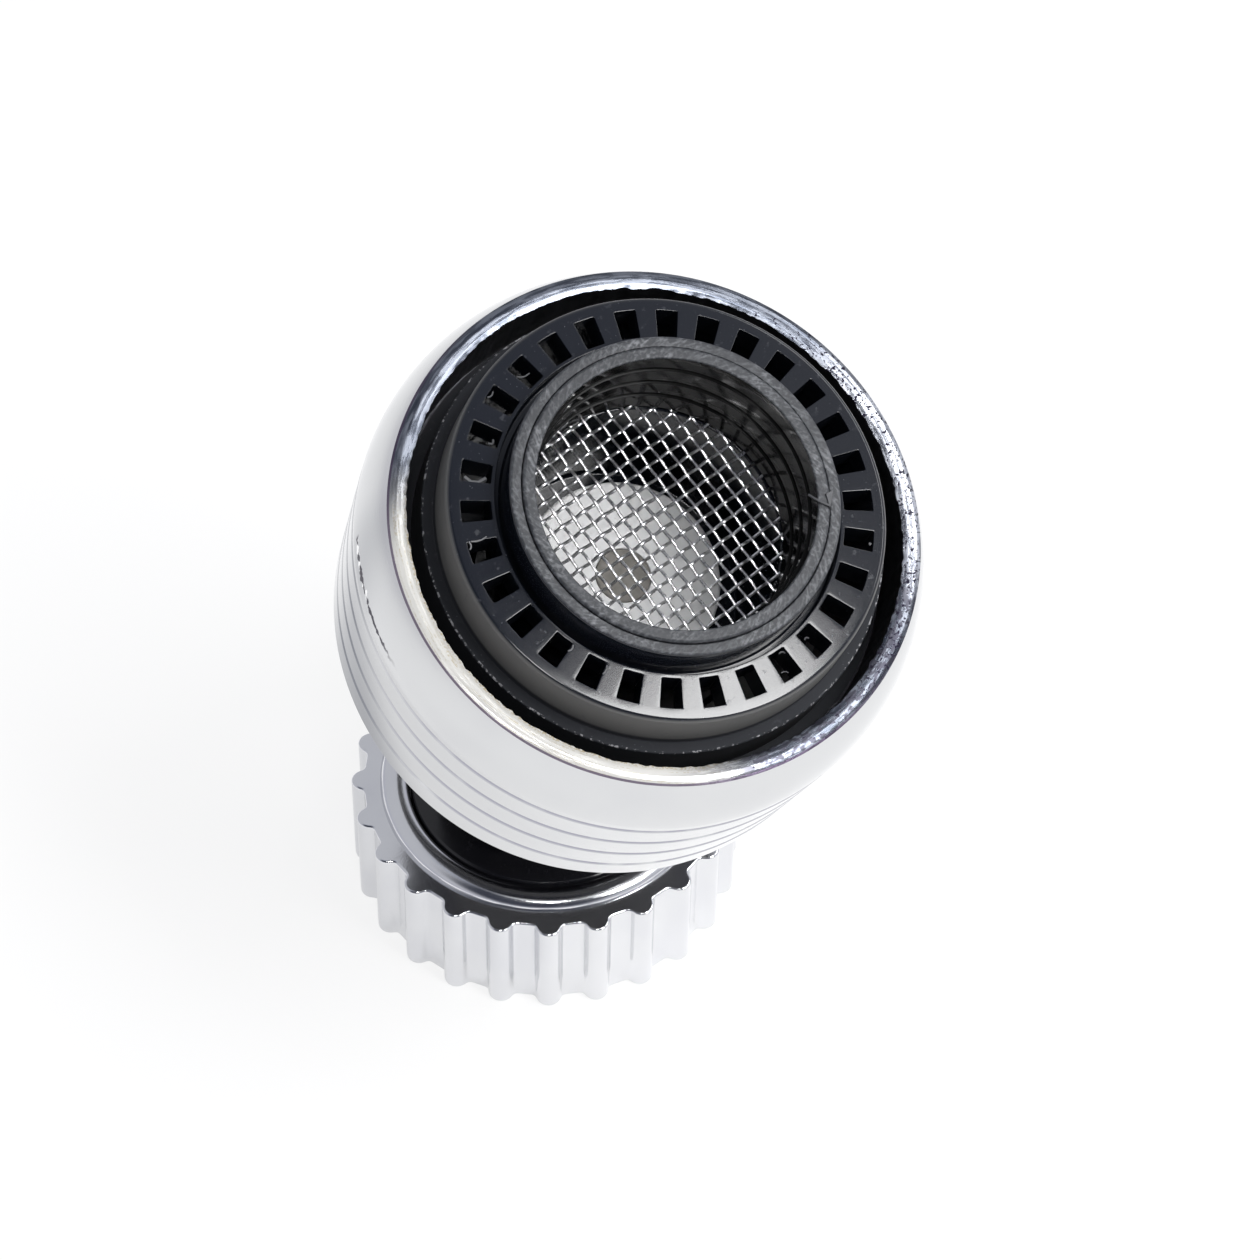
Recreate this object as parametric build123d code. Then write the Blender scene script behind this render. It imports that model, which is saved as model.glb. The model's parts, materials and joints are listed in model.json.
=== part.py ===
"""Swivel tap aerator: a fluted nut, a ball stem and a tilting head with a grip shell that slides.

The part stands on the nut's mouth, with the origin at the mouth's centre and +Z up along the nut.
The head's pieces are modelled about their own axis, with the ball's centre as zero and the outlet
towards +Z, and are then tilted into place.
"""
import os
from math import cos, radians, sin, sqrt

from build123d import *

# Clearances
FIT = 0.05            # between pieces that are assembled and stay put
RUNNING = 0.10        # between pieces that turn or slide on each other
SEAL_CLEAR = 0.03     # between an O-ring and the wall that it wipes

# Nut
NUT_HEIGHT = 8.4
FLUTE_TIP_RADIUS = 13.55
FLUTE_COUNT = 24
FLUTE_RADIUS = 0.9
NUT_EDGE = 0.35       # round on the ends of the ridges
THREAD_RADIUS = 10.5
THREAD_RELIEF = 0.3   # the washer's chamber is this much wider than the thread
NUT_FLOOR = 1.2       # lip that keeps the stem's flange captive
LIP_HOLE_RADIUS = 9.55
LIP_RING_WIDTH = 2.0
LIP_RING_HEIGHT = 0.8

# Washer and debris screen in the nut's mouth
WASHER_THICKNESS = 2.2
WASHER_HOLE_RADIUS = 6.4
SCREEN_RADIUS = 7.6
SCREEN_THICKNESS = 0.4
SCREEN_PITCH = 1.7
SCREEN_BAR = 0.5

# Ball stem
BALL_RADIUS = 8.0
BALL_ABOVE_NUT = 9.4
NECK_RADIUS = 4.2
WATERWAY_RADIUS = 3.2
STEM_FLANGE_THICKNESS = 1.0
STEM_FLANGE_OVERLAP = 0.8
SLIP_RING_THICKNESS = 0.3
SHOULDER_TOP = 0.85
SHOULDER_EDGE = 0.3
SHOULDER_TOP_RADIUS = 5.8
SHOULDER_DOME = 38.0
INLET_FLARE_RADIUS = 6.0
OUTLET_FLARE = 0.8

# Head, set on the ball
HEAD_TILT = 23.4
BALL_TO_RIM = 33.3

# Grip shell
SHELL_LENGTH = 18.3
RIM_RADIUS = 16.5
RIM_WIDTH = 1.1
LIP_RADIUS = 17.8
LIP_LENGTH = 5.0
SHELL_BACK_RADIUS = 17.0
SHELL_BACK_WALL = 1.6
SHELL_BORE_STEP = 0.8
GROOVE_COUNT = 4
GROOVE_FIRST = 5.9
GROOVE_PITCH = 3.1
GROOVE_WIDTH = 0.3
GROOVE_DEPTH = 0.2
BACK_EDGE = 0.5
SLIDE_TRAVEL = 3.4

# Slotted core
FACE_PROUD = 3.0
FACE_RADIUS = 13.55
FACE_THICKNESS = 2.2
CORE_WALL = 0.7
RIM_GAP = 1.0
CORE_FLANGE_DROP = 0.65
GAP_DEPTH = 4.3
CORE_SEAT_THICKNESS = 1.0
CORE_SEAT_CLEAR = 0.2
SLOT_COUNT = 30
SLOT_START = 1.4      # angle of the first slot from the tilt axis
SLOT_SHARE = 0.52
SLOT_INNER_RADIUS = 10.87
SLOT_OUTER_RADIUS = 12.73
COLLAR_PROUD = 5.0
COLLAR_RADIUS = 10.15
COLLAR_WALL = 0.72
COLLAR_EDGE = 0.25
MOAT_DEPTH = 1.2
MOAT_RIM = 0.25       # web between the moat and the slots
TUBE_RADIUS = 8.2
TUBE_WALL = 1.0
LEDGE_THICKNESS = 1.0
THROAT_LIP = 1.2
AIR_HOLE_COUNT = 6
AIR_HOLE_RADIUS = 0.9

# Mesh and its sleeve
MESH_DEPTH = 2.0
MESH_THICKNESS = 0.36
MESH_PITCH = 1.6
MESH_WIRE = 0.4
MESH_RIM = 0.7
SLEEVE_PROUD = 0.2
SLEEVE_BORE_RADIUS = 8.6
SLEEVE_STEP = 0.12
SLEEVE_STEP_COUNT = 3

# Valve disc on the carrier's stem
DISC_RADIUS = 6.3
DISC_DEPTH = 9.5
DISC_THICKNESS = 1.4
PIN_HEAD_RADIUS = 1.75
PIN_HEAD_THICKNESS = 0.5
PIN_RADIUS = 0.9
PIN_DEPTH = 2.6

# Rear cap and ball seat
CAP_WALL = 1.9
CAP_CYLINDER_END = 10.5
CAP_LIP_ANGLE = 58.0
CAP_LIP_WIDTH = 2.0
CAP_LIP_DROP = 0.6
SOCKET_TOP = 1.6
SEAT_WALL = 2.15
SEAT_TOP = 6.6
SEAT_OPENING_ANGLE = 50.0
SPIGOT_STEP = 0.75
SPIGOT_SHOULDER = 1.5

# Carrier
CHAMBER_RADIUS = 7.0
PISTON_LENGTH = 3.2
PISTON_RING_WIDTH = 2.1
PISTON_WEB = 1.3
CUP_CLEAR = 0.2
CUP_FLOOR_CLEAR = 0.3
SKIRT_CLEAR = 0.5
SPIDER_THICKNESS = 1.6
SPIDER_ARMS = 3
SPIDER_ARM_WIDTH = 1.6
SPIDER_START = 90.0   # the first arm lies in the plane that the head tilts in
HUB_RADIUS = 2.6

# O-ring cords
BALL_CORD = 1.5
BALL_SEAL_ANGLE = 61.0
CAP_CORD = 1.1
SLIDE_CORD = 1.6
TUBE_CORD = 1.1
CORE_CORD = 1.2
GROOVE_SPARE = 0.3    # a seal groove is this much wider than its cord

# Levels along the nut
LIP_UNDERSIDE = NUT_HEIGHT - NUT_FLOOR
STEM_FLANGE_TOP = LIP_UNDERSIDE - SLIP_RING_THICKNESS - RUNNING
STEM_FLANGE_BOTTOM = STEM_FLANGE_TOP - STEM_FLANGE_THICKNESS
WASHER_TOP = STEM_FLANGE_BOTTOM - FIT
THREAD_LENGTH = WASHER_TOP - WASHER_THICKNESS
BALL_CENTRE = NUT_HEIGHT + BALL_ABOVE_NUT
STEM_FLANGE_RADIUS = LIP_HOLE_RADIUS + STEM_FLANGE_OVERLAP
SHOULDER_RADIUS = LIP_HOLE_RADIUS - RUNNING
CHAMBER_BORE = THREAD_RADIUS + THREAD_RELIEF

# Levels along the head, from the ball's centre towards the outlet
RIM = BALL_TO_RIM
FACE = RIM + FACE_PROUD
COLLAR_TOP = RIM + COLLAR_PROUD
LEDGE = RIM - MESH_DEPTH
LEDGE_BACK = LEDGE - LEDGE_THICKNESS
CORE_SEAT_TOP = RIM - GAP_DEPTH
SHELL_STEP = CORE_SEAT_TOP - CORE_SEAT_THICKNESS
SHELL_BACK = RIM - SHELL_LENGTH
BACK_WALL_FRONT = SHELL_BACK + SHELL_BACK_WALL
PISTON_BACK = BACK_WALL_FRONT + SLIDE_TRAVEL + RUNNING
PISTON_FRONT = PISTON_BACK + PISTON_LENGTH
SKIRT_BACK = PISTON_FRONT + SKIRT_CLEAR
DISC_FRONT = RIM - DISC_DEPTH
DISC_BACK = DISC_FRONT - DISC_THICKNESS
TUBE_BACK = DISC_FRONT + RUNNING - THROAT_LIP - SLIDE_TRAVEL
CUP_FLOOR = TUBE_BACK - CUP_FLOOR_CLEAR
CUP_MOUTH = PISTON_BACK + PISTON_WEB
SPIDER_BACK = CUP_FLOOR - SPIDER_THICKNESS

# Radii in the head
RIM_INNER = RIM_RADIUS - RIM_WIDTH
SHELL_BORE = RIM_INNER - SHELL_BORE_STEP
CORE_FLANGE_RADIUS = RIM_INNER - RIM_GAP
CHANNEL_RADIUS = FACE_RADIUS - CORE_WALL
COLLAR_BORE = COLLAR_RADIUS - COLLAR_WALL
TUBE_OUTER = TUBE_RADIUS + TUBE_WALL
THROAT_RADIUS = DISC_RADIUS + RUNNING
SKIRT_RADIUS = SHELL_BORE - FIT
PISTON_RADIUS = SHELL_BORE - RUNNING
CUP_RADIUS = TUBE_OUTER + CUP_CLEAR
SOCKET_RADIUS = BALL_RADIUS + RUNNING
SEAT_RADIUS = BALL_RADIUS + SEAT_WALL
CAP_SEAT_BORE = SEAT_RADIUS + FIT
SPIGOT_RADIUS = SEAT_RADIUS + SPIGOT_STEP
CAP_BORE = SPIGOT_RADIUS + FIT
CAP_RADIUS = CAP_BORE + CAP_WALL
CAP_STEP = SEAT_TOP + SPIGOT_SHOULDER
SHELL_HOLE = CAP_RADIUS + RUNNING


def turned(*edges):
    """Solid of revolution about Z from the edges of its half section, X as radius and Y as height."""
    return revolve(Plane.XZ * make_face(edges), axis=Axis.Z)


def turned_points(*points):
    """Solid of revolution from the corners of its half section."""
    return turned(Polyline(*points, close=True))


def ring(inner, outer, low, high):
    """Plain ring between two radii and two levels."""
    return turned_points((inner, low), (outer, low), (outer, high), (inner, high))


def o_ring(inner, cord, level):
    """O-ring that fills a gland from its inner radius outwards, centred on a level."""
    return Pos(0, 0, level) * Torus(inner + cord / 2, cord / 2)


def wire_lattice(radius, thickness, pitch, wire, rim, level):
    """Disc of crossed wires with a solid edge band: one wall with square gaps."""
    disc = Pos(0, 0, level + thickness / 2) * Cylinder(radius, thickness)
    gap = pitch - wire
    reach = radius - rim
    count = int(reach // pitch)
    places = []
    for column in range(-count, count + 1):
        for row in range(-count, count + 1):
            corner = pitch * sqrt((abs(column) + 0.5) ** 2 + (abs(row) + 0.5) ** 2)
            if corner < reach + wire:
                places.append(Pos(column * pitch, row * pitch, level + thickness / 2))
    return disc - [place * Box(gap, gap, 2 * thickness) for place in places]


def union_nut():
    """Fluted nut: half-round ridges, threaded mouth, captive lip and a raised ring on its top face."""
    valley = FLUTE_TIP_RADIUS - FLUTE_RADIUS
    outline = Circle(valley) + PolarLocations(valley, FLUTE_COUNT) * Circle(FLUTE_RADIUS)
    edge_radius = FLUTE_TIP_RADIUS - NUT_EDGE
    side = Line((FLUTE_TIP_RADIUS, NUT_EDGE), (FLUTE_TIP_RADIUS, NUT_HEIGHT - NUT_EDGE))
    upper = RadiusArc(side @ 1, (edge_radius, NUT_HEIGHT), -NUT_EDGE)
    inside = Polyline((edge_radius, NUT_HEIGHT), (0, NUT_HEIGHT), (0, 0), (edge_radius, 0))
    lower = RadiusArc((edge_radius, 0), side @ 0, -NUT_EDGE)
    body = extrude(outline, NUT_HEIGHT) & turned(side, upper, inside, lower)
    ring_outer = LIP_HOLE_RADIUS + LIP_RING_WIDTH
    ring_middle = LIP_HOLE_RADIUS + LIP_RING_WIDTH / 2
    ring_top = NUT_HEIGHT + LIP_RING_HEIGHT
    crest = ThreePointArc((ring_outer, NUT_HEIGHT), (ring_middle, ring_top), (LIP_HOLE_RADIUS, NUT_HEIGHT))
    foot = Polyline((LIP_HOLE_RADIUS, NUT_HEIGHT), (LIP_HOLE_RADIUS, LIP_UNDERSIDE),
                    (ring_outer, LIP_UNDERSIDE), (ring_outer, NUT_HEIGHT))
    bore = turned_points((0, 0), (THREAD_RADIUS, 0), (THREAD_RADIUS, THREAD_LENGTH),
                         (CHAMBER_BORE, THREAD_LENGTH), (CHAMBER_BORE, LIP_UNDERSIDE),
                         (LIP_HOLE_RADIUS, LIP_UNDERSIDE), (LIP_HOLE_RADIUS, ring_top), (0, ring_top))
    return body + turned(crest, foot) - bore


def tap_washer():
    """Rubber washer with a rebate that takes the debris screen."""
    outer = CHAMBER_BORE - FIT
    rebate_radius = SCREEN_RADIUS + FIT
    rebate = WASHER_TOP - SCREEN_THICKNESS - FIT
    return turned_points((WASHER_HOLE_RADIUS, THREAD_LENGTH), (outer, THREAD_LENGTH), (outer, WASHER_TOP),
                         (rebate_radius, WASHER_TOP), (rebate_radius, rebate), (WASHER_HOLE_RADIUS, rebate))


def inlet_strainer():
    """Debris screen that lies in the washer's rebate."""
    rim = SCREEN_RADIUS - WASHER_HOLE_RADIUS
    return wire_lattice(SCREEN_RADIUS, SCREEN_THICKNESS, SCREEN_PITCH, SCREEN_BAR, rim,
                        WASHER_TOP - SCREEN_THICKNESS - FIT)


def slip_ring():
    """Thin ring between the nut's lip and the stem's flange."""
    return ring(LIP_HOLE_RADIUS, CHAMBER_BORE - FIT, LIP_UNDERSIDE - SLIP_RING_THICKNESS, LIP_UNDERSIDE)


def ball_stem():
    """Captive flange, domed shoulder, neck and ball, with the waterway through them."""
    shoulder_edge = NUT_HEIGHT + SHOULDER_EDGE
    shoulder_top = NUT_HEIGHT + SHOULDER_TOP
    dome = RadiusArc((SHOULDER_RADIUS, shoulder_edge), (SHOULDER_TOP_RADIUS, shoulder_top), -SHOULDER_DOME)
    rest = Polyline((SHOULDER_TOP_RADIUS, shoulder_top), (NECK_RADIUS, shoulder_top),
                    (NECK_RADIUS, BALL_CENTRE), (0, BALL_CENTRE),
                    (0, STEM_FLANGE_BOTTOM), (STEM_FLANGE_RADIUS, STEM_FLANGE_BOTTOM),
                    (STEM_FLANGE_RADIUS, STEM_FLANGE_TOP), (SHOULDER_RADIUS, STEM_FLANGE_TOP),
                    (SHOULDER_RADIUS, shoulder_edge))
    stem = turned(dome, rest) + Pos(0, 0, BALL_CENTRE) * Sphere(BALL_RADIUS)
    ball_top = BALL_CENTRE + BALL_RADIUS
    flare_top = BALL_CENTRE + sqrt(BALL_RADIUS ** 2 - WATERWAY_RADIUS ** 2)
    waterway = turned_points((0, STEM_FLANGE_BOTTOM), (INLET_FLARE_RADIUS, STEM_FLANGE_BOTTOM),
                             (WATERWAY_RADIUS, shoulder_top), (WATERWAY_RADIUS, flare_top - 2 * OUTLET_FLARE),
                             (WATERWAY_RADIUS + OUTLET_FLARE, ball_top), (0, ball_top))
    return stem - waterway


def on_ball(radius, angle):
    """Point of a half section at an angle from the head's axis, on a sphere about the ball's centre."""
    return (radius * sin(radians(angle)), radius * cos(radians(angle)))


def ball_seat():
    """Ring with a hollow spherical face and a gland for the ball's O-ring."""
    lip_radius, lip_level = on_ball(SOCKET_RADIUS, SEAT_OPENING_ANGLE)
    foot = SOCKET_TOP + FIT
    foot_radius = sqrt(SOCKET_RADIUS ** 2 - foot ** 2)
    middle_angle = (SEAT_OPENING_ANGLE + 90) / 2
    bowl = ThreePointArc((foot_radius, foot), on_ball(SOCKET_RADIUS, middle_angle), (lip_radius, lip_level))
    outside = Polyline((lip_radius, lip_level), (lip_radius, SEAT_TOP - FIT), (SEAT_RADIUS, SEAT_TOP - FIT),
                       (SEAT_RADIUS, foot), (foot_radius, foot))
    gland_radius, gland_level = on_ball(BALL_RADIUS + SEAL_CLEAR + BALL_CORD / 2, BALL_SEAL_ANGLE)
    gland = Pos(0, 0, gland_level) * Torus(gland_radius, BALL_CORD / 2 + FIT)
    return turned(bowl, outside) - gland


def ball_seal():
    """O-ring that seals the seat to the ball."""
    seal_radius, seal_level = on_ball(BALL_RADIUS + SEAL_CLEAR + BALL_CORD / 2, BALL_SEAL_ANGLE)
    return Pos(0, 0, seal_level) * Torus(seal_radius, BALL_CORD / 2)


def rear_cap():
    """Bell-shaped cap: cylinder for the shell to slide on, and the socket that holds the ball."""
    lip_radius, lip_drop = on_ball(SOCKET_RADIUS, CAP_LIP_ANGLE)
    lip_level = -lip_drop
    lip_bottom = lip_level - CAP_LIP_DROP
    lip_outer = lip_radius + CAP_LIP_WIDTH
    socket_radius = sqrt(SOCKET_RADIUS ** 2 - SOCKET_TOP ** 2)
    bell_drop = CAP_CYLINDER_END - lip_level
    bell_inset = CAP_RADIUS - lip_outer
    bell_radius = (bell_drop ** 2 + bell_inset ** 2) / (2 * bell_inset)
    bell = RadiusArc((CAP_RADIUS, CAP_CYLINDER_END), (lip_outer, lip_level), bell_radius)
    lip = Polyline((lip_outer, lip_level), (lip_outer - CAP_LIP_DROP / 2, lip_bottom),
                   (lip_radius + CAP_LIP_DROP, lip_bottom), (lip_radius, lip_level))
    socket = ThreePointArc((lip_radius, lip_level), (SOCKET_RADIUS, 0), (socket_radius, SOCKET_TOP))
    inside = Polyline((socket_radius, SOCKET_TOP), (CAP_SEAT_BORE, SOCKET_TOP), (CAP_SEAT_BORE, CAP_STEP),
                      (CAP_BORE, CAP_STEP), (CAP_BORE, PISTON_BACK), (CAP_RADIUS, PISTON_BACK),
                      (CAP_RADIUS, CAP_CYLINDER_END))
    return turned(bell, lip, socket, inside)


def cap_seal_inner():
    """Inner radius of the gland between the carrier's nose and the cap."""
    return CAP_SEAT_BORE - SEAL_CLEAR - CAP_CORD


def tube_seal_level():
    """Middle of the gland in the carrier's cup."""
    return (CUP_FLOOR + CUP_MOUTH) / 2


def carrier():
    """Inner body: nose on the seat, spigot in the cap, piston in the shell, cup, spider and hub."""
    piston_inner = PISTON_RADIUS - PISTON_RING_WIDTH
    shoulder = CAP_STEP + FIT
    body = turned_points((CHAMBER_RADIUS, SEAT_TOP), (SEAT_RADIUS, SEAT_TOP), (SEAT_RADIUS, shoulder),
                         (SPIGOT_RADIUS, shoulder), (SPIGOT_RADIUS, PISTON_BACK),
                         (PISTON_RADIUS, PISTON_BACK), (PISTON_RADIUS, PISTON_FRONT),
                         (piston_inner, PISTON_FRONT), (piston_inner, CUP_MOUTH), (CUP_RADIUS, CUP_MOUTH),
                         (CUP_RADIUS, CUP_FLOOR), (CHAMBER_RADIUS, CUP_FLOOR))
    nose_level = (SEAT_TOP + CAP_STEP) / 2
    nose_width = CAP_CORD / 2 + FIT
    piston_level = (PISTON_BACK + PISTON_FRONT) / 2
    slide_width = (SLIDE_CORD + GROOVE_SPARE) / 2
    body -= ring(cap_seal_inner(), SPIGOT_RADIUS, nose_level - nose_width, nose_level + nose_width)
    body -= ring(SHELL_BORE - SEAL_CLEAR - SLIDE_CORD - FIT, SHELL_BORE, piston_level - slide_width,
                 piston_level + slide_width)
    tube_width = TUBE_CORD / 2 + FIT
    body -= ring(TUBE_OUTER, TUBE_OUTER + SEAL_CLEAR + TUBE_CORD + FIT, tube_seal_level() - tube_width,
                 tube_seal_level() + tube_width)
    hub = Pos(0, 0, (SPIDER_BACK + DISC_BACK) / 2) * Cylinder(HUB_RADIUS, DISC_BACK - SPIDER_BACK)
    arm_length = CHAMBER_RADIUS + FIT
    arm_place = Pos(arm_length / 2, 0, SPIDER_BACK + SPIDER_THICKNESS / 2)
    arm = arm_place * Box(arm_length, SPIDER_ARM_WIDTH, SPIDER_THICKNESS)
    for step in range(SPIDER_ARMS):
        hub += Rot(0, 0, SPIDER_START + 360 * step / SPIDER_ARMS) * arm
    pin_hole = Pos(0, 0, DISC_BACK - PIN_DEPTH / 2) * Cylinder(PIN_RADIUS + FIT, PIN_DEPTH)
    return body + hub - pin_hole


def cap_seal():
    """O-ring on the carrier's nose."""
    return o_ring(cap_seal_inner(), CAP_CORD, (SEAT_TOP + CAP_STEP) / 2)


def slide_seal():
    """O-ring on the piston, which wipes the shell's bore."""
    return o_ring(SHELL_BORE - SEAL_CLEAR - SLIDE_CORD, SLIDE_CORD, (PISTON_BACK + PISTON_FRONT) / 2)


def tube_seal():
    """O-ring in the carrier's cup, which wipes the core's tube."""
    return o_ring(TUBE_OUTER + SEAL_CLEAR, TUBE_CORD, tube_seal_level())


def valve_disc():
    """White disc that closes the throat when the shell is pulled out."""
    disc = ring(PIN_RADIUS + FIT, DISC_RADIUS, DISC_BACK, DISC_FRONT)
    return disc - ring(0, PIN_HEAD_RADIUS + FIT, DISC_FRONT - PIN_HEAD_THICKNESS, DISC_FRONT)


def valve_pin():
    """Flat-headed pin that holds the disc on the carrier's hub."""
    head_back = DISC_FRONT - PIN_HEAD_THICKNESS
    return turned_points((0, DISC_BACK - PIN_DEPTH + FIT), (PIN_RADIUS, DISC_BACK - PIN_DEPTH + FIT),
                         (PIN_RADIUS, head_back), (PIN_HEAD_RADIUS, head_back), (PIN_HEAD_RADIUS, DISC_FRONT),
                         (0, DISC_FRONT))


def barrel_shell():
    """Grip shell: rounded lip, tapered barrel with grip grooves, stepped bore and a back wall on the cap."""
    lip_level = RIM - LIP_LENGTH
    lip_bulge = LIP_RADIUS - RIM_RADIUS
    lip_arc = (LIP_LENGTH ** 2 + lip_bulge ** 2) / (2 * lip_bulge)
    lip = RadiusArc((RIM_RADIUS, RIM), (LIP_RADIUS, lip_level), lip_arc)
    barrel = Polyline((LIP_RADIUS, lip_level), (SHELL_BACK_RADIUS, SHELL_BACK + BACK_EDGE),
                      (SHELL_BACK_RADIUS - BACK_EDGE, SHELL_BACK), (SHELL_HOLE, SHELL_BACK),
                      (SHELL_HOLE, BACK_WALL_FRONT), (SHELL_BORE, BACK_WALL_FRONT), (SHELL_BORE, SHELL_STEP),
                      (RIM_INNER, SHELL_STEP), (RIM_INNER, RIM), (RIM_RADIUS, RIM))
    shell = turned(lip, barrel)
    taper = (LIP_RADIUS - SHELL_BACK_RADIUS) / (lip_level - SHELL_BACK - BACK_EDGE)
    for step in range(GROOVE_COUNT):
        level = RIM - GROOVE_FIRST - step * GROOVE_PITCH
        surface = LIP_RADIUS - taper * (lip_level - level)
        above = surface + GROOVE_DEPTH
        shell -= turned_points((surface - GROOVE_DEPTH, level), (above, level - GROOVE_WIDTH),
                               (above, level + GROOVE_WIDTH))
    return shell


def core_seal_level():
    """Middle of the gland on the core's skirt."""
    return (SKIRT_BACK + SHELL_STEP) / 2


def slotted_core():
    """Moulded core: flange, wall, slotted face, moat, collar, spray channel, mixing tube and throat."""
    face_back = FACE - FACE_THICKNESS
    moat_floor = FACE - MOAT_DEPTH
    moat_radius = SLOT_INNER_RADIUS - MOAT_RIM
    flange_level = RIM - CORE_FLANGE_DROP
    seat_radius = RIM_INNER - CORE_SEAT_CLEAR
    core = turned_points((COLLAR_BORE, COLLAR_TOP), (COLLAR_RADIUS - COLLAR_EDGE, COLLAR_TOP),
                         (COLLAR_RADIUS, COLLAR_TOP - COLLAR_EDGE), (COLLAR_RADIUS, moat_floor),
                         (moat_radius, moat_floor), (moat_radius, FACE),
                         (FACE_RADIUS - COLLAR_EDGE, FACE), (FACE_RADIUS, FACE - COLLAR_EDGE),
                         (FACE_RADIUS, flange_level), (CORE_FLANGE_RADIUS, flange_level),
                         (CORE_FLANGE_RADIUS, CORE_SEAT_TOP), (seat_radius, CORE_SEAT_TOP),
                         (seat_radius, SHELL_STEP), (SKIRT_RADIUS, SHELL_STEP), (SKIRT_RADIUS, SKIRT_BACK),
                         (CHANNEL_RADIUS, SKIRT_BACK), (CHANNEL_RADIUS, face_back),
                         (COLLAR_RADIUS, face_back), (COLLAR_RADIUS, LEDGE_BACK),
                         (TUBE_OUTER, LEDGE_BACK), (TUBE_OUTER, TUBE_BACK), (THROAT_RADIUS, TUBE_BACK),
                         (THROAT_RADIUS, TUBE_BACK + THROAT_LIP), (TUBE_RADIUS, TUBE_BACK + THROAT_LIP),
                         (TUBE_RADIUS, LEDGE), (COLLAR_BORE, LEDGE))
    half_turn = 180 * SLOT_SHARE / SLOT_COUNT
    half_inner = SLOT_INNER_RADIUS * sin(radians(half_turn))
    half_outer = SLOT_OUTER_RADIUS * sin(radians(half_turn))
    outline = Polyline((SLOT_INNER_RADIUS, -half_inner), (SLOT_OUTER_RADIUS, -half_outer),
                       (SLOT_OUTER_RADIUS, half_outer), (SLOT_INNER_RADIUS, half_inner), close=True)
    slot = extrude(Pos(0, 0, face_back) * make_face(outline), FACE_THICKNESS)
    core -= [Rot(0, 0, SLOT_START + 360 * step / SLOT_COUNT) * slot for step in range(SLOT_COUNT)]
    seal_width = (CORE_CORD + GROOVE_SPARE) / 2
    core -= ring(SHELL_BORE - SEAL_CLEAR - CORE_CORD - FIT, SHELL_BORE, core_seal_level() - seal_width,
                 core_seal_level() + seal_width)
    air_level = LEDGE_BACK - 2 * AIR_HOLE_RADIUS
    air_place = Pos(TUBE_RADIUS + TUBE_WALL / 2, 0, air_level) * Rot(0, 90, 0)
    air_hole = air_place * Cylinder(AIR_HOLE_RADIUS, 2 * TUBE_WALL)
    core -= [Rot(0, 0, 360 * step / AIR_HOLE_COUNT) * air_hole for step in range(AIR_HOLE_COUNT)]
    return core


def core_seal():
    """O-ring between the core's skirt and the shell's bore."""
    return o_ring(SHELL_BORE - SEAL_CLEAR - CORE_CORD, CORE_CORD, core_seal_level())


def outlet_mesh():
    """Wire disc on the core's ledge."""
    return wire_lattice(COLLAR_BORE - FIT, MESH_THICKNESS, MESH_PITCH, MESH_WIRE, MESH_RIM, LEDGE)


def mesh_sleeve():
    """Sleeve that holds the mesh down, with a bore that narrows in small steps."""
    foot = LEDGE + MESH_THICKNESS
    top = COLLAR_TOP + SLEEVE_PROUD
    outer = COLLAR_BORE - FIT
    corners = [(outer, foot), (outer, top - COLLAR_EDGE), (outer - COLLAR_EDGE, top),
               (SLEEVE_BORE_RADIUS, top)]
    step_height = (top - foot) / (SLEEVE_STEP_COUNT + 1)
    for step in range(SLEEVE_STEP_COUNT):
        level = top - (step + 1) * step_height
        corners.append((SLEEVE_BORE_RADIUS - step * SLEEVE_STEP, level))
        corners.append((SLEEVE_BORE_RADIUS - (step + 1) * SLEEVE_STEP, level))
    corners.append((SLEEVE_BORE_RADIUS - SLEEVE_STEP_COUNT * SLEEVE_STEP, foot))
    return turned_points(*corners)


NUT_PIECES = (union_nut, tap_washer, inlet_strainer, slip_ring, ball_stem)
HEAD_PIECES = (ball_seat, ball_seal, rear_cap, carrier, cap_seal, slide_seal, tube_seal,
               valve_disc, valve_pin, barrel_shell, slotted_core, core_seal, outlet_mesh, mesh_sleeve)
HEAD_PLACE = Pos(0, 0, BALL_CENTRE) * Rot(HEAD_TILT, 0, 0)

os.makedirs("parts", exist_ok=True)
for piece in NUT_PIECES:
    export_step(piece(), f"parts/{piece.__name__}.step")
for piece in HEAD_PIECES:
    export_step(HEAD_PLACE * piece(), f"parts/{piece.__name__}.step")
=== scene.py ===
"""Look of a swivel tap aerator: its pieces, their finishes, the stage, the light and the camera.

Sizes are in millimetres.  The nut's pieces stand in the row frame.  The head's pieces are modelled
about the head's own axis, with the ball's centre as zero and the outlet towards +Z, and the frame's
joint places them.
"""
import json
import logging
import math
from dataclasses import dataclass
from enum import Enum, IntEnum
from typing import Callable, Iterable, Optional, Sequence, Union

import bmesh
import bpy
from mathutils import Matrix, Vector, noise


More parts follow.
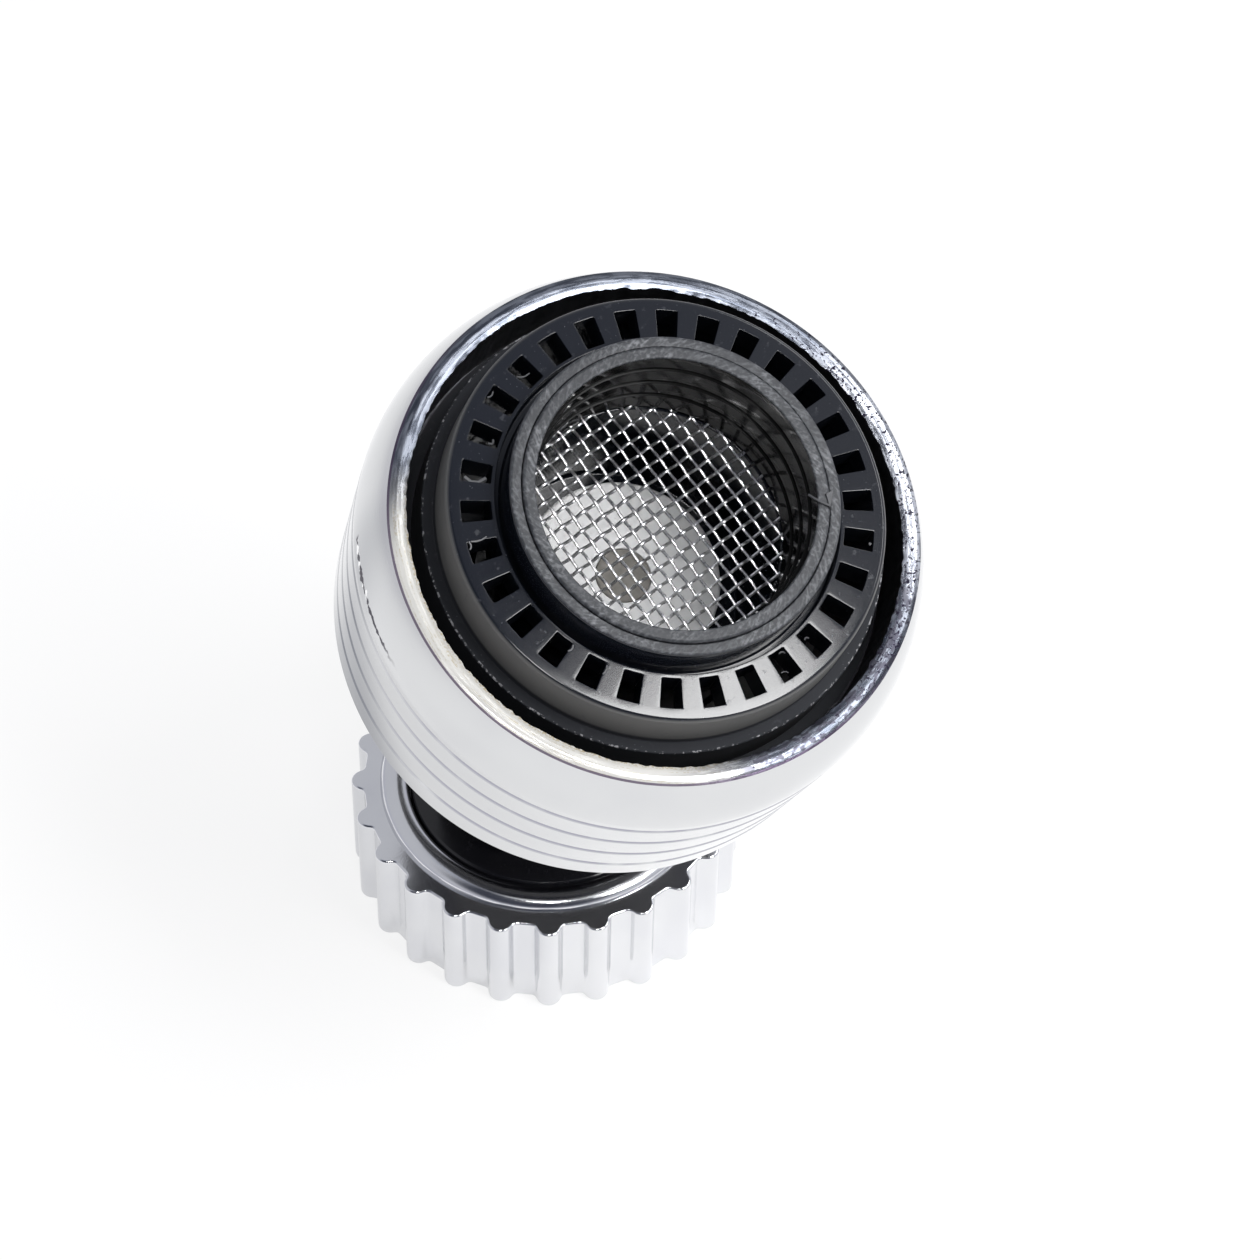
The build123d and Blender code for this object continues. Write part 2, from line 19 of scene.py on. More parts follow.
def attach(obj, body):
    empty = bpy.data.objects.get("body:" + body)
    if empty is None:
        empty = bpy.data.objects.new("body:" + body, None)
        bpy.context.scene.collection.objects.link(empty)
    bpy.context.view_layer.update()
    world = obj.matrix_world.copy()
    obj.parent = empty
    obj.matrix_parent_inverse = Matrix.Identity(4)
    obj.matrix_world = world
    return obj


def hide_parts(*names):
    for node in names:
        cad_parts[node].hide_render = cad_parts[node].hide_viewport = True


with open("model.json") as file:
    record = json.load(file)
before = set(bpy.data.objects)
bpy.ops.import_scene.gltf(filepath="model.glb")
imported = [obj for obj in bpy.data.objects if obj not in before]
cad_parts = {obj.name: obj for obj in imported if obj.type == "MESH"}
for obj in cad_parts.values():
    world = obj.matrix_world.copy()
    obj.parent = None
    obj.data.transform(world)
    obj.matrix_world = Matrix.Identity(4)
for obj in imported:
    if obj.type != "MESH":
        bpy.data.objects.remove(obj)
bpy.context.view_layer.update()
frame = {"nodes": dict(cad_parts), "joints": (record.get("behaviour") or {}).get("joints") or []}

LOG = logging.getLogger("aerator")
MM = 0.001
PHOTO_PIXELS = 1260
CREASE = math.radians(38.0)  # edges sharper than this stay sharp
WELD = 2e-4  # points nearer than this are joined
AXIS_RADIUS = 1e-4  # stands for the axis in a turned section
HAIR = 0.01  # tolerance of radii and levels
ROUNDING_CHORDS = 4

Point = tuple[float, float, float]
SectionPoint = tuple[float, float]
Corner = tuple[float, float, float]
Band = tuple[float, float]
Colour = tuple[float, float, float, float]
Number = Union[float, "Signal"]
Operator = Callable[["Signal", Number], "Signal"]
Softener = Callable[[bmesh.types.BMesh], None]

WHITE: Colour = (1.0, 1.0, 1.0, 1.0)


class Slot(Enum):
    """Material slots of the record."""

    CHROME = "chrome_plating"
    CORE = "core_plastic"
    SLEEVE = "sleeve_plastic"
    CARRIER = "carrier_plastic"
    WHITE = "white_plastic"
    RUBBER = "seal_rubber"
    WIRE = "steel_wire"
    DULL = "dull_metal"


class ShellFace(IntEnum):
    """Finishes of the grip shell, by their place in its list."""

    GRIP = 0
    RIM = 1
    BORE = 2


class CoreFace(IntEnum):
    """Finishes of the slotted core, by their place in its list."""

    MOULDED = 0
    PALE_FLASH = 1
    DARK_FLASH = 2
    TRIMMED = 3


class SleeveFace(IntEnum):
    """Finishes of the mesh sleeve, by their place in its list."""

    MARKED = 0
    BORE = 1
    TORN = 2


def operator_pair(operation: str) -> tuple[Operator, Operator]:
    """Plain and reflected form of an operator on signals.

    Args:
        operation: the Math node's operation.

    Returns:
        Both methods, each of which adds one Math node.
    """
    def plain(self: "Signal", other: Number) -> "Signal":
        """The signal first."""
        return self.recipe.math(operation, self, other)

    def reflected(self: "Signal", other: Number) -> "Signal":
        """The other value first."""
        return self.recipe.math(operation, other, self)

    return plain, reflected


class Signal:
    """A value in a node tree.  Ordinary operators on it add Math nodes."""

    __add__, __radd__ = operator_pair("ADD")
    __sub__, __rsub__ = operator_pair("SUBTRACT")
    __mul__, __rmul__ = operator_pair("MULTIPLY")
    __truediv__, __rtruediv__ = operator_pair("DIVIDE")
    __pow__, __rpow__ = operator_pair("POWER")

    def __init__(self, recipe: "Recipe", socket: bpy.types.NodeSocket) -> None:
        """Keep the socket and the recipe that it belongs to."""
        self.recipe = recipe
        self.socket = socket

    def __abs__(self) -> "Signal":
        """Distance from nought."""
        return self.recipe.math("ABSOLUTE", self)

    def fraction(self) -> "Signal":
        """Part after the decimal point."""
        return self.recipe.math("FRACT", self)

    def lesser(self, other: Number) -> "Signal":
        """The smaller of two values."""
        return self.recipe.math("MINIMUM", self, other)

    def greater(self, other: Number) -> "Signal":
        """The larger of two values."""
        return self.recipe.math("MAXIMUM", self, other)

    def rise(self, low: float, high: float) -> "Signal":
        """Smooth step from 0 at the low value to 1 at the high one."""
        sockets = {"Value": self, "From Min": low, "From Max": high}
        return self.recipe.signal("ShaderNodeMapRange", {"interpolation_type": "SMOOTHSTEP"},
                                  sockets)

    def fall(self, low: float, high: float) -> "Signal":
        """Smooth step from 1 at the low value down to 0 at the high one."""
        return 1.0 - self.rise(low, high)

    def between(self, start: Band, end: Band) -> "Signal":
        """Smooth hump that rises over one band of values and falls over another."""
        return self.rise(*start) * self.fall(*end)


@dataclass
class Position:
    """Where a surface point is in its piece, in millimetres and radians."""

    vector: Signal
    x: Signal
    y: Signal
    z: Signal
    radius: Signal
    angle: Signal

    def towards(self, middle: float) -> Signal:
        """How far the point lies in a direction round the axis: 1 in it, -1 opposite."""
        return self.angle.recipe.math("COSINE", self.angle - middle)


class Recipe:
    """One node tree and the makers of its nodes."""

    def __init__(self, tree: bpy.types.NodeTree) -> None:
        """Start from an empty tree."""
        self.tree = tree
        self.tree.nodes.clear()

    def node(self, kind: str, settings: dict, sockets: dict) -> bpy.types.Node:
        """Make a node.

        Args:
            kind: the node's type.
            settings: its settings, set first.
            sockets: values or signals of its inputs, by name or index.

        Returns:
            The node.
        """
        made = self.tree.nodes.new(kind)
        for name, value in settings.items():
            setattr(made, name, value)
        for key, value in sockets.items():
            if isinstance(value, Signal):
                self.tree.links.new(value.socket, made.inputs[key])
            else:
                made.inputs[key].default_value = value
        return made

    def signal(self, kind: str, settings: dict, sockets: dict,
               output: Union[int, str] = 0) -> Signal:
        """Make a node and take one of its outputs."""
        return Signal(self, self.node(kind, settings, sockets).outputs[output])

    def math(self, operation: str, *values: Number) -> Signal:
        """One Math node on values."""
        return self.signal("ShaderNodeMath", {"operation": operation}, dict(enumerate(values)))

    def vector_math(self, operation: str, *values: Union[Signal, Point]) -> Signal:
        """One Vector Math node on vectors."""
        settings = {"operation": operation}
        return self.signal("ShaderNodeVectorMath", settings, dict(enumerate(values)))

    def mix(self, factor: Number, first: Union[Signal, Colour],
            second: Union[Signal, Colour]) -> Signal:
        """Blend of two colours, the second by the factor's share."""
        sockets = {0: factor, 6: first, 7: second}
        return self.signal("ShaderNodeMix", {"data_type": "RGBA"}, sockets, 2)

    def split(self, vector: Signal) -> list[Signal]:
        """The three values of a vector."""
        parts = self.node("ShaderNodeSeparateXYZ", {}, {0: vector})
        return [Signal(self, socket) for socket in parts.outputs]

    def combine(self, x: Number, y: Number, z: Number) -> Signal:
        """Vector from three values."""
        return self.signal("ShaderNodeCombineXYZ", {}, {0: x, 1: y, 2: z})

    def position(self) -> Position:
        """Object coordinates in millimetres, with radius and angle about Z.

        Returns:
            The surface point's place.
        """
        place = self.signal("ShaderNodeTexCoord", {}, {}, "Object")
        vector = self.vector_math("MULTIPLY", place, (1 / MM, 1 / MM, 1 / MM))
        x, y, z = self.split(vector)
        return Position(vector, x, y, z, (x * x + y * y) ** 0.5, self.math("ARCTAN2", y, x))

    def noise(self, vector: Signal, scale: float, detail: float) -> Signal:
        """Cloudy noise about 0.5, with so many features to the vector's unit and so many layers."""
        sockets = {"Vector": vector, "Scale": scale, "Detail": detail}
        return self.signal("ShaderNodeTexNoise", {}, sockets)

    def bump(self, height: Signal, depth: float) -> Signal:
        """Normal bent by a height, of which 1 stands for a depth in millimetres."""
        sockets = {"Height": height, "Distance": depth * MM, "Strength": 1.0}
        return self.signal("ShaderNodeBump", {}, sockets)

    def ray(self, kind: str) -> Signal:
        """1 for rays of one kind, 0 for others."""
        return self.signal("ShaderNodeLightPath", {}, {}, kind)

    def seen(self) -> Signal:
        """1 for what the camera sees, straight or through something clear."""
        return self.ray("Is Camera Ray").greater(self.ray("Is Transmission Ray"))

    def glow(self, kind: str, colour: Colour) -> Signal:
        """Light of one even colour, as an emission or a background shader."""
        return self.signal(kind, {}, {"Color": colour, "Strength": 1.0})

    def blend(self, factor: Signal, first: Signal, second: Signal) -> Signal:
        """Mix of two shaders, the second by the factor's share."""
        return self.signal("ShaderNodeMixShader", {}, {0: factor, 1: first, 2: second})

    def output(self, kind: str, shader: Signal) -> None:
        """Shader to the tree's output."""
        self.node(kind, {}, {"Surface": shader})

    def surface(self, sockets: dict) -> None:
        """Principled shader to the material's output."""
        shader = self.signal("ShaderNodeBsdfPrincipled", {}, sockets)
        self.output("ShaderNodeOutputMaterial", shader)


@dataclass(frozen=True)
class Finish:
    """A surface finish, made into one material of its own name.

    Scales are features to the millimetre and depths are millimetres.  The pairs given to rise and
    fall are the noise values between which a mark sets in, and plain factors are shares of it.
    """

    name: str

    def material(self) -> bpy.types.Material:
        """The finish's material, made on first use.

        Returns:
            The material.
        """
        found = bpy.data.materials.get(self.name)
        if found is None:
            found = bpy.data.materials.new(self.name)
            found.use_nodes = True
            self.paint(Recipe(found.node_tree))
        return found

    def paint(self, recipe: Recipe) -> None:
        """Lay the finish into a node tree."""
        raise NotImplementedError


@dataclass(frozen=True)
class Chrome(Finish):
    """Bright plating over a moulding: faint smears, fine grain and hairline scratches."""

    tint: Colour = (0.77, 0.775, 0.79, 1.0)
    shade: Colour = (0.735, 0.74, 0.765, 1.0)
    roughness: float = 0.15
    smear_scale: float = 0.16
    grain_scale: float = 7.0
    hairline_scale: float = 1.4
    hairline_draw: Point = (0.5, 0.5, 9.0)
    relief: float = 0.002

    def sheen(self, recipe: Recipe, at: Position) -> tuple[Signal, Signal, Signal]:
        """Plain plating.

        Args:
            recipe: the tree to work in.
            at: where the surface point is.

        Returns:
            Colour, roughness and normal.
        """
        smear = recipe.noise(at.vector, self.smear_scale, 4.0)
        grain = recipe.noise(at.vector, self.grain_scale, 2.0)
        drawn = recipe.vector_math("MULTIPLY", at.vector, self.hairline_draw)
        hairline = recipe.noise(drawn, self.hairline_scale, 5.0).rise(0.62, 0.72)
        colour = recipe.mix(smear.rise(0.35, 0.75), self.tint, self.shade)
        roughness = self.roughness + 0.06 * smear.rise(0.45, 0.8) + 0.05 * hairline
        normal = recipe.bump(grain + 0.6 * hairline, self.relief)
        return colour, roughness, normal

    def paint(self, recipe: Recipe) -> None:
        """Plain plating all over."""
        colour, roughness, normal = self.sheen(recipe, recipe.position())
        recipe.surface({"Base Color": colour, "Roughness": roughness, "Normal": normal,
                        "Metallic": 1.0})


@dataclass(frozen=True)
class GripChrome(Chrome):
    """Grip shell plating: painted shade in the grooves and towards the back; a chipped crack above.

    Directions on it are in degrees.
    """

    cover: float = 0.9
    first_groove: float = 27.4
    groove_pitch: float = 3.1
    groove_count: int = 4
    groove_edge: Band = (0.06, 0.34)
    # painted shade: darkens the grooves, strongest round one side
    painted_groove_shade: Colour = (0.33, 0.33, 0.39, 1.0)
    groove_shade_middle: float = math.radians(236)
    groove_shade_scale: float = 0.3
    # painted shade: darkens the shell towards its back and left side
    painted_back_shade: Colour = (0.20, 0.21, 0.24, 1.0)
    back_shade_degrees: float = 166.0
    back_shade_onset: float = 21.0
    back_shade_end: Band = (14.0, 40.0)
    back_shade_level: float = 15.5
    back_shade_slant: float = 2.2
    chip: Colour = (0.045, 0.04, 0.06, 1.0)
    bare: Colour = (0.97, 0.97, 0.97, 1.0)
    chip_level: float = 29.35
    chip_radius: float = 17.8
    chip_start: Band = (153.5, 154.5)
    chip_end: Band = (165.5, 167.5)
    crack_end: Band = (175.0, 183.0)
    chip_scale: float = 2.2
    bead_scale: float = 0.75

    def paint(self, recipe: Recipe) -> None:
        """Plating with painted shade in the grooves and towards the back, and a chipped crack.

        Args:
            recipe: the tree to work in.
        """
        at = recipe.position()
        colour, roughness, normal = self.sheen(recipe, at)
        degrees = at.angle * (180.0 / math.pi)
        degrees = degrees + 360.0 * recipe.math("LESS_THAN", degrees, 0.0)
        # painted shade laid into the grooves
        colour = recipe.mix(self.cover * self.grooves(recipe, at), colour, self.painted_groove_shade)
        # painted shade towards the back
        behind = (degrees - self.back_shade_degrees) + self.back_shade_slant * (at.z - self.back_shade_level)
        onset = degrees.rise(self.back_shade_degrees - self.back_shade_onset, self.back_shade_degrees)
        colour = recipe.mix(self.cover * (behind.fall(*self.back_shade_end) * onset), colour, self.painted_back_shade)
        chipped, flaked = self.chips(recipe, at, degrees)
        colour = recipe.mix(chipped, recipe.mix(flaked, colour, self.bare), self.chip)
        recipe.surface({"Base Color": colour, "Roughness": roughness + 0.3 * chipped,
                        "Normal": normal, "Metallic": 1.0})

    def grooves(self, recipe: Recipe, at: Position) -> Signal:
        """Share of painted shade in the grooves, strongest round one side.

        Args:
            recipe: the tree to work in.
            at: where the surface point is.

        Returns:
            Value from 0 to 1.
        """
        step = (self.first_groove - at.z) / self.groove_pitch
        away = self.groove_pitch * abs((step + 0.5).fraction() - 0.5)
        in_band = step.between((-0.2, -0.1), (self.groove_count - 0.9, self.groove_count - 0.8))
        shaded_side = at.towards(self.groove_shade_middle).rise(0.35, 0.92)
        patchy = (0.1 + 0.9 * shaded_side) * recipe.noise(at.vector, self.groove_shade_scale, 2.0).rise(0.2, 0.5)
        return away.fall(*self.groove_edge) * in_band * patchy

    def chips(self, recipe: Recipe, at: Position, degrees: Signal) -> tuple[Signal, Signal]:
        """Beaded chips along a crack in the plating, and the flakes beside them.

        Args:
            recipe: the tree to work in.
            at: where the surface point is.
            degrees: its direction, from 0 to 360.

        Returns:
            Shares of dark chip and of bare flake.
        """
        stretch = degrees.between(self.chip_start, self.chip_end)
        crack = degrees.between(self.chip_end, self.crack_end)
        near = abs(at.z - self.chip_level)
        ragged = recipe.noise(at.vector, self.chip_scale, 3.0)
        along = degrees * math.radians(self.chip_radius)
        bead = recipe.noise(recipe.combine(along, 0.0, 0.0), self.bead_scale, 1.0).rise(0.44, 0.56)
        chipped = (near - 0.24 * bead + 0.9 * (0.5 - ragged)).fall(0.0, 0.04) * stretch
        chipped = chipped.greater((near + 0.8 * (0.5 - ragged)).fall(0.09, 0.17) * crack)
        flaked = (near + 0.18 * bead + 1.2 * (ragged - 0.5)).fall(0.14, 0.2) * stretch
        return chipped, flaked


@dataclass(frozen=True)
class WornRim(Finish):
    """Worn rim plating: a painted cream reflection on one side, a painted glare, mottling and pits.
    """

    silver: Colour = (0.075, 0.084, 0.105, 1.0)
    light: Colour = (0.205, 0.22, 0.255, 1.0)
    # painted highlight: a brighter glare laid round one side of the rim
    painted_glare: Colour = (0.56, 0.58, 0.63, 1.0)
    # painted reflection: a cream-white reflection laid into the colour on one side
    painted_cream_reflection: Colour = (0.63, 0.62, 0.585, 1.0)
    brassy: Colour = (0.46, 0.40, 0.28, 1.0)
    outline: Colour = (0.11, 0.085, 0.13, 1.0)
    mottle: Colour = (0.048, 0.046, 0.060, 1.0)
    pit: Colour = (0.02, 0.018, 0.03, 1.0)
    reflection_middle: float = math.radians(203)
    pitted_middle: float = math.radians(340)
    painted_glare_middle: float = math.radians(348)
    mottled_middle: float = math.radians(290)
    inner_radius: float = 15.4
    outer_radius: float = 16.5
    speckle_scale: float = 3.6
    fleck_scale: float = 6.5
    relief: float = 0.01

    @staticmethod
    def drawn(recipe: Recipe, at: Position, along: float, across: float, detail: float) -> Signal:
        """Noise drawn out round the rim, of one fineness along it and one across."""
        x, y = (along * (part / at.radius) for part in (at.x, at.y))
        return recipe.noise(recipe.combine(x, y, across * at.radius), 1.0, detail)

    def paint(self, recipe: Recipe) -> None:
        """Streaks round the rim, with a painted reflection and a painted glare, changing with the
        place on it.

        Args:
            recipe: the tree to work in.
        """
        at = recipe.position()
        # side of the rim that carries the painted reflection
        reflection_way = at.towards(self.reflection_middle)
        reflection_side = reflection_way.rise(0.45, 0.8)
        pitted_side = at.towards(self.pitted_middle).rise(0.3, 0.9)
        painted_glare_side = at.towards(self.painted_glare_middle).rise(0.8, 0.98)
        mottled_side = at.towards(self.mottled_middle).rise(0.72, 0.92)
        across = (at.radius - self.inner_radius) / (self.outer_radius - self.inner_radius)
        streak = self.drawn(recipe, at, 8.0, 4.0, 4.0)
        scratch = self.drawn(recipe, at, 4.0, 13.0, 3.0)
        patch = self.drawn(recipe, at, 26.0, 3.2, 4.0)
        speckle = recipe.noise(at.vector, self.speckle_scale, 4.0)
        fleck = recipe.noise(at.vector, self.fleck_scale, 3.0)
        bright = streak.rise(0.38, 0.66) + 0.35 * scratch.rise(0.5, 0.6)
        silver = recipe.mix(bright.lesser(1.0), self.silver, self.light)
        # painted glare round one side
        silver = recipe.mix(painted_glare_side * (0.45 + bright).lesser(1.0), silver, self.painted_glare)
        worn = scratch.rise(0.54, 0.62) * fleck.rise(0.42, 0.58) * 0.75
        worn = worn + across.fall(0.0, 0.25) * fleck.rise(0.48, 0.56)
        # painted reflection, with brassy wear flecks in it
        painted_cream_reflection = recipe.mix(worn.lesser(0.95), self.painted_cream_reflection, self.brassy)
        colour = recipe.mix(reflection_side, silver, painted_cream_reflection)
        mottled = mottled_side * patch.rise(0.48, 0.54)
        colour = recipe.mix(0.85 * mottled, colour, self.mottle)
        outlined = 0.9 * reflection_way.rise(-0.3, 0.3) * across.rise(0.93, 0.97)
        colour = recipe.mix(outlined, colour, self.outline)
        limit = 0.645 - 0.115 * pitted_side + 0.13 * reflection_side
        pits = (0.5 * (speckle + fleck) - limit).rise(0.0, 0.04)
        colour = recipe.mix(pits, colour, self.pit)
        height = 0.5 * streak + 0.25 * scratch + 0.25 * speckle - 0.4 * pits
        roughness = 0.22 - 0.1 * reflection_side + 0.14 * streak.rise(0.4, 0.7)
        roughness = roughness + 0.3 * pits.greater(0.35 * mottled)
        recipe.surface({"Base Color": colour, "Roughness": roughness,
                        # less metallic where the reflection is painted
                        "Metallic": 1.0 - 0.75 * reflection_side,
                        "Normal": recipe.bump(height, self.relief)})


@dataclass(frozen=True)
class SatinPlastic(Finish):
    """Dark moulding with fine spark-eroded grain, scuffs, dust, painted wall light and edge glints.
    """

    colour: Colour = (0.0065, 0.0078, 0.0115, 1.0)
    scuff: Colour = (0.06, 0.063, 0.072, 1.0)
    roughness: float = 0.12
    # painted light: paler colour on the outer wall above the flange, standing for its lit band
    side: Colour = (0.092, 0.091, 0.087, 1.0)
    # painted highlight: bright dashes along the flange edge, standing for a burr catching the light
    bare: Colour = (0.24, 0.24, 0.25, 1.0)
    side_start: Band = (13.35, 13.6)
    edge_radius: float = 14.4
    edge_level: float = 32.65
    wall_start: Band = (32.95, 33.35)
    cloud_scale: float = 0.22
    grain_scale: float = 16.0
    scuff_scale: float = 1.6
    dust_scale: float = 5.5
    edge_glint_scale: float = 4.0
    relief: float = 0.0012

    def paint(self, recipe: Recipe) -> None:
        """Grain, clouding, scuffs, specks of dust, painted light on the wall and painted glints on
        the flange edge.

        Args:
            recipe: the tree to work in.
        """
        at = recipe.position()
        cloud = recipe.noise(at.vector, self.cloud_scale, 3.0)
        grain = recipe.noise(at.vector, self.grain_scale, 2.0)
        scuff = recipe.noise(at.vector, self.scuff_scale, 6.0).rise(0.6, 0.78)
        dust = recipe.noise(at.vector, self.dust_scale, 1.0).rise(0.74, 0.79)
        edge_glints = recipe.noise(at.vector, self.edge_glint_scale, 3.0).rise(0.53, 0.62)
        beyond = at.radius.rise(*self.side_start)
        wall = beyond * at.z.rise(*self.wall_start)
        away = abs(at.radius - self.edge_radius).greater(abs(at.z - self.edge_level))
        # painted light on the outer wall
        colour = recipe.mix(wall, self.colour, self.side)
        colour = recipe.mix((0.35 * scuff + 0.8 * dust).lesser(1.0), colour, self.scuff)
        # painted glints along the flange edge
        colour = recipe.mix(away.fall(0.08, 0.14) * edge_glints, colour, self.bare)
        roughness = self.roughness + 0.06 * (cloud - 0.5) + 0.1 * scuff
        roughness = roughness + 0.7 * beyond - 0.3 * wall
        recipe.surface({"Base Color": colour, "Roughness": roughness,
                        "Normal": recipe.bump(grain + 0.5 * scuff, self.relief)})


@dataclass(frozen=True)
class ToolMarkedPlastic(Finish):
    """Dark grey moulding, scraped on the slant and pitted by the tool that trimmed it."""

    colour: Colour = (0.026, 0.028, 0.032, 1.0)
    mark: Colour = (0.15, 0.155, 0.165, 1.0)
    middle_radius: float = 9.0
    scrape_scale: float = 1.6
    speck_scale: float = 4.5
    cloud_scale: float = 0.35
    relief: float = 0.035
    gloss: float = 0.35

    def paint(self, recipe: Recipe) -> None:
        """Slanted scrapes, pits and clouding.

        Args:
            recipe: the tree to work in.
        """
        at = recipe.position()
        along = at.angle * self.middle_radius
        slant = recipe.combine((along + 1.3 * at.radius) * 2.2, (along - at.radius) * 0.7, at.z)
        scrape = recipe.noise(slant, self.scrape_scale, 4.0)
        speck = recipe.noise(at.vector, self.speck_scale, 4.0)
        cloud = recipe.noise(at.vector, self.cloud_scale, 3.0)
        marked = 0.55 * scrape.rise(0.46, 0.7) + 0.5 * speck.rise(0.46, 0.74)
        marked = marked * (0.35 + 0.9 * cloud.rise(0.3, 0.7))
        recipe.surface({"Base Color": recipe.mix(marked.lesser(1.0), self.colour, self.mark),
                        "Roughness": 0.36 + 0.25 * speck, "Specular IOR Level": self.gloss,
                        "Normal": recipe.bump(0.6 * scrape + 0.6 * speck, self.relief)})


@dataclass(frozen=True)
class RingedBore(Finish):
    """Glossy black bore with faint turned rings."""

    colour: Colour = (0.006, 0.006, 0.006, 1.0)
    ring: Colour = (0.025, 0.0245, 0.023, 1.0)
    ring_draw: Point = (0.02, 0.02, 2.6)
    haze_scale: float = 0.8
    relief: float = 0.004
    gloss: float = 0.1

    def paint(self, recipe: Recipe) -> None:
        """Rings along the bore and a little haze.

        Args:
            recipe: the tree to work in.
        """
        at = recipe.position()
        rings = recipe.noise(recipe.vector_math("MULTIPLY", at.vector, self.ring_draw), 1.0, 4.0)
        haze = recipe.noise(at.vector, self.haze_scale, 4.0)
        recipe.surface({"Base Color": recipe.mix(rings.rise(0.5, 0.66), self.colour, self.ring),
                        "Roughness": 0.06 + 0.12 * haze.rise(0.4, 0.7),
                        "Specular IOR Level": self.gloss,
                        "Normal": recipe.bump(rings, self.relief)})


@dataclass(frozen=True)
class PlainPlastic(Finish):
    """Moulded plastic with soft clouding, fine grain and faint scuffs."""

    colour: Colour = (0.93, 0.93, 0.93, 1.0)
    shade: Colour = (0.84, 0.84, 0.84, 1.0)
    roughness: float = 0.38
    cloud_scale: float = 0.3
    grain_scale: float = 12.0
    scuff_scale: float = 2.4
    relief: float = 0.005

    def paint(self, recipe: Recipe) -> None:
        """Clouding, grain and scuffs.

        Args:
            recipe: the tree to work in.
        """
        at = recipe.position()
        cloud = recipe.noise(at.vector, self.cloud_scale, 4.0)
        grain = recipe.noise(at.vector, self.grain_scale, 2.0)
        scuff = recipe.noise(at.vector, self.scuff_scale, 5.0).rise(0.6, 0.75)
        shaded = (cloud.rise(0.35, 0.75) + 0.5 * scuff).lesser(1.0)
        recipe.surface({"Base Color": recipe.mix(shaded, self.colour, self.shade),
                        "Roughness": self.roughness + 0.15 * (cloud - 0.5) + 0.08 * scuff,
                        "Normal": recipe.bump(grain + scuff, self.relief)})


@dataclass(frozen=True)
class Metal(Finish):
    """Drawn wire, dull plating or a dull pin, with tarnish and a fine grain."""

    colour: Colour
    shade: Colour
    roughness: float
    metallic: float = 1.0
    gloss: float = 0.5
    tarnish_scale: float = 0.9
    grain_scale: float = 14.0
    relief: float = 0.003

    def paint(self, recipe: Recipe) -> None:
        """Tarnish and grain.

        Args:
            recipe: the tree to work in.
        """
        at = recipe.position()
        tarnish = recipe.noise(at.vector, self.tarnish_scale, 4.0).rise(0.4, 0.72)
        grain = recipe.noise(at.vector, self.grain_scale, 3.0)
        recipe.surface({"Base Color": recipe.mix(tarnish, self.colour, self.shade),
                        "Roughness": self.roughness + 0.14 * (grain - 0.4),
                        "Normal": recipe.bump(grain, self.relief),
                        "Metallic": self.metallic, "Specular IOR Level": self.gloss})


@dataclass(frozen=True)
class Rubber(Finish):
    """Black rubber with bloom and a fine matt grain."""

    colour: Colour = (0.018, 0.018, 0.019, 1.0)
    bloom: Colour = (0.06, 0.06, 0.06, 1.0)
    bloom_scale: float = 0.8
    grain_scale: float = 20.0
    relief: float = 0.008

    def paint(self, recipe: Recipe) -> None:
        """Bloom and grain.

        Args:
            recipe: the tree to work in.
        """
        at = recipe.position()
        bloom = recipe.noise(at.vector, self.bloom_scale, 5.0).rise(0.5, 0.75)
        grain = recipe.noise(at.vector, self.grain_scale, 2.0)
        recipe.surface({"Base Color": recipe.mix(bloom, self.colour, self.bloom),
                        "Roughness": 0.55 + 0.15 * bloom,
                        "Normal": recipe.bump(grain, self.relief)})


@dataclass(frozen=True)
class PaleFloor(Finish):
    """Plain pale floor that reads as white to the camera and keeps a soft shadow.

    In reflections it is nearly as white, and its far part fades into the studio's dusk, as a lit
    sweep does.
    """

    colour: Colour = (0.9, 0.9, 0.9, 1.0)
    dusk: Colour = (0.76, 0.76, 0.80, 1.0)
    glow: float = 0.82
    glossy_glow: float = 0.62
    fade: Band = (110.0, 420.0)

    def paint(self, recipe: Recipe) -> None:
        """Diffuse floor, part of it replaced by an even white for camera, glossy and clear rays.

        Args:
            recipe: the tree to work in.
        """
        glossy = recipe.ray("Is Glossy Ray")
        share = (recipe.seen() * self.glow).greater(glossy * self.glossy_glow)
        matt = recipe.signal("ShaderNodeBsdfDiffuse", {}, {"Color": self.colour})
        white, dusk = (recipe.glow("ShaderNodeEmission", colour) for colour in (WHITE, self.dusk))
        far = glossy * recipe.position().radius.rise(*self.fade)
        floor = recipe.blend(far, recipe.blend(share, matt, white), dusk)
        recipe.output("ShaderNodeOutputMaterial", floor)


CHROME = Chrome("bright_chrome")
GRIP_CHROME = GripChrome("grip_chrome", (0.665, 0.67, 0.675, 1.0), (0.64, 0.645, 0.655, 1.0), 0.08)
WORN_RIM = WornRim("worn_rim_chrome")
CORE_PLASTIC = SatinPlastic("satin_core_moulding")
SLEEVE_PLASTIC = ToolMarkedPlastic("tool_marked_moulding")
SLEEVE_BORE = RingedBore("ringed_bore")
FLASH_PLASTIC = PlainPlastic("flash_plastic", (0.06, 0.062, 0.067, 1.0), (0.03, 0.03, 0.033, 1.0),
                             0.55)
TORN_PLASTIC = PlainPlastic("torn_plastic", (0.15, 0.15, 0.155, 1.0), (0.07, 0.07, 0.074, 1.0), 0.6)
BLACK_PLASTIC = SatinPlastic("black_moulding", (0.010, 0.010, 0.013, 1.0),
                             (0.035, 0.035, 0.04, 1.0), 0.16)
ACETAL = PlainPlastic("natural_acetal", (0.75, 0.74, 0.70, 1.0), (0.66, 0.64, 0.58, 1.0), 0.4)
WHITE_PLASTIC = PlainPlastic("white_moulding")
RUBBER = Rubber("black_rubber")
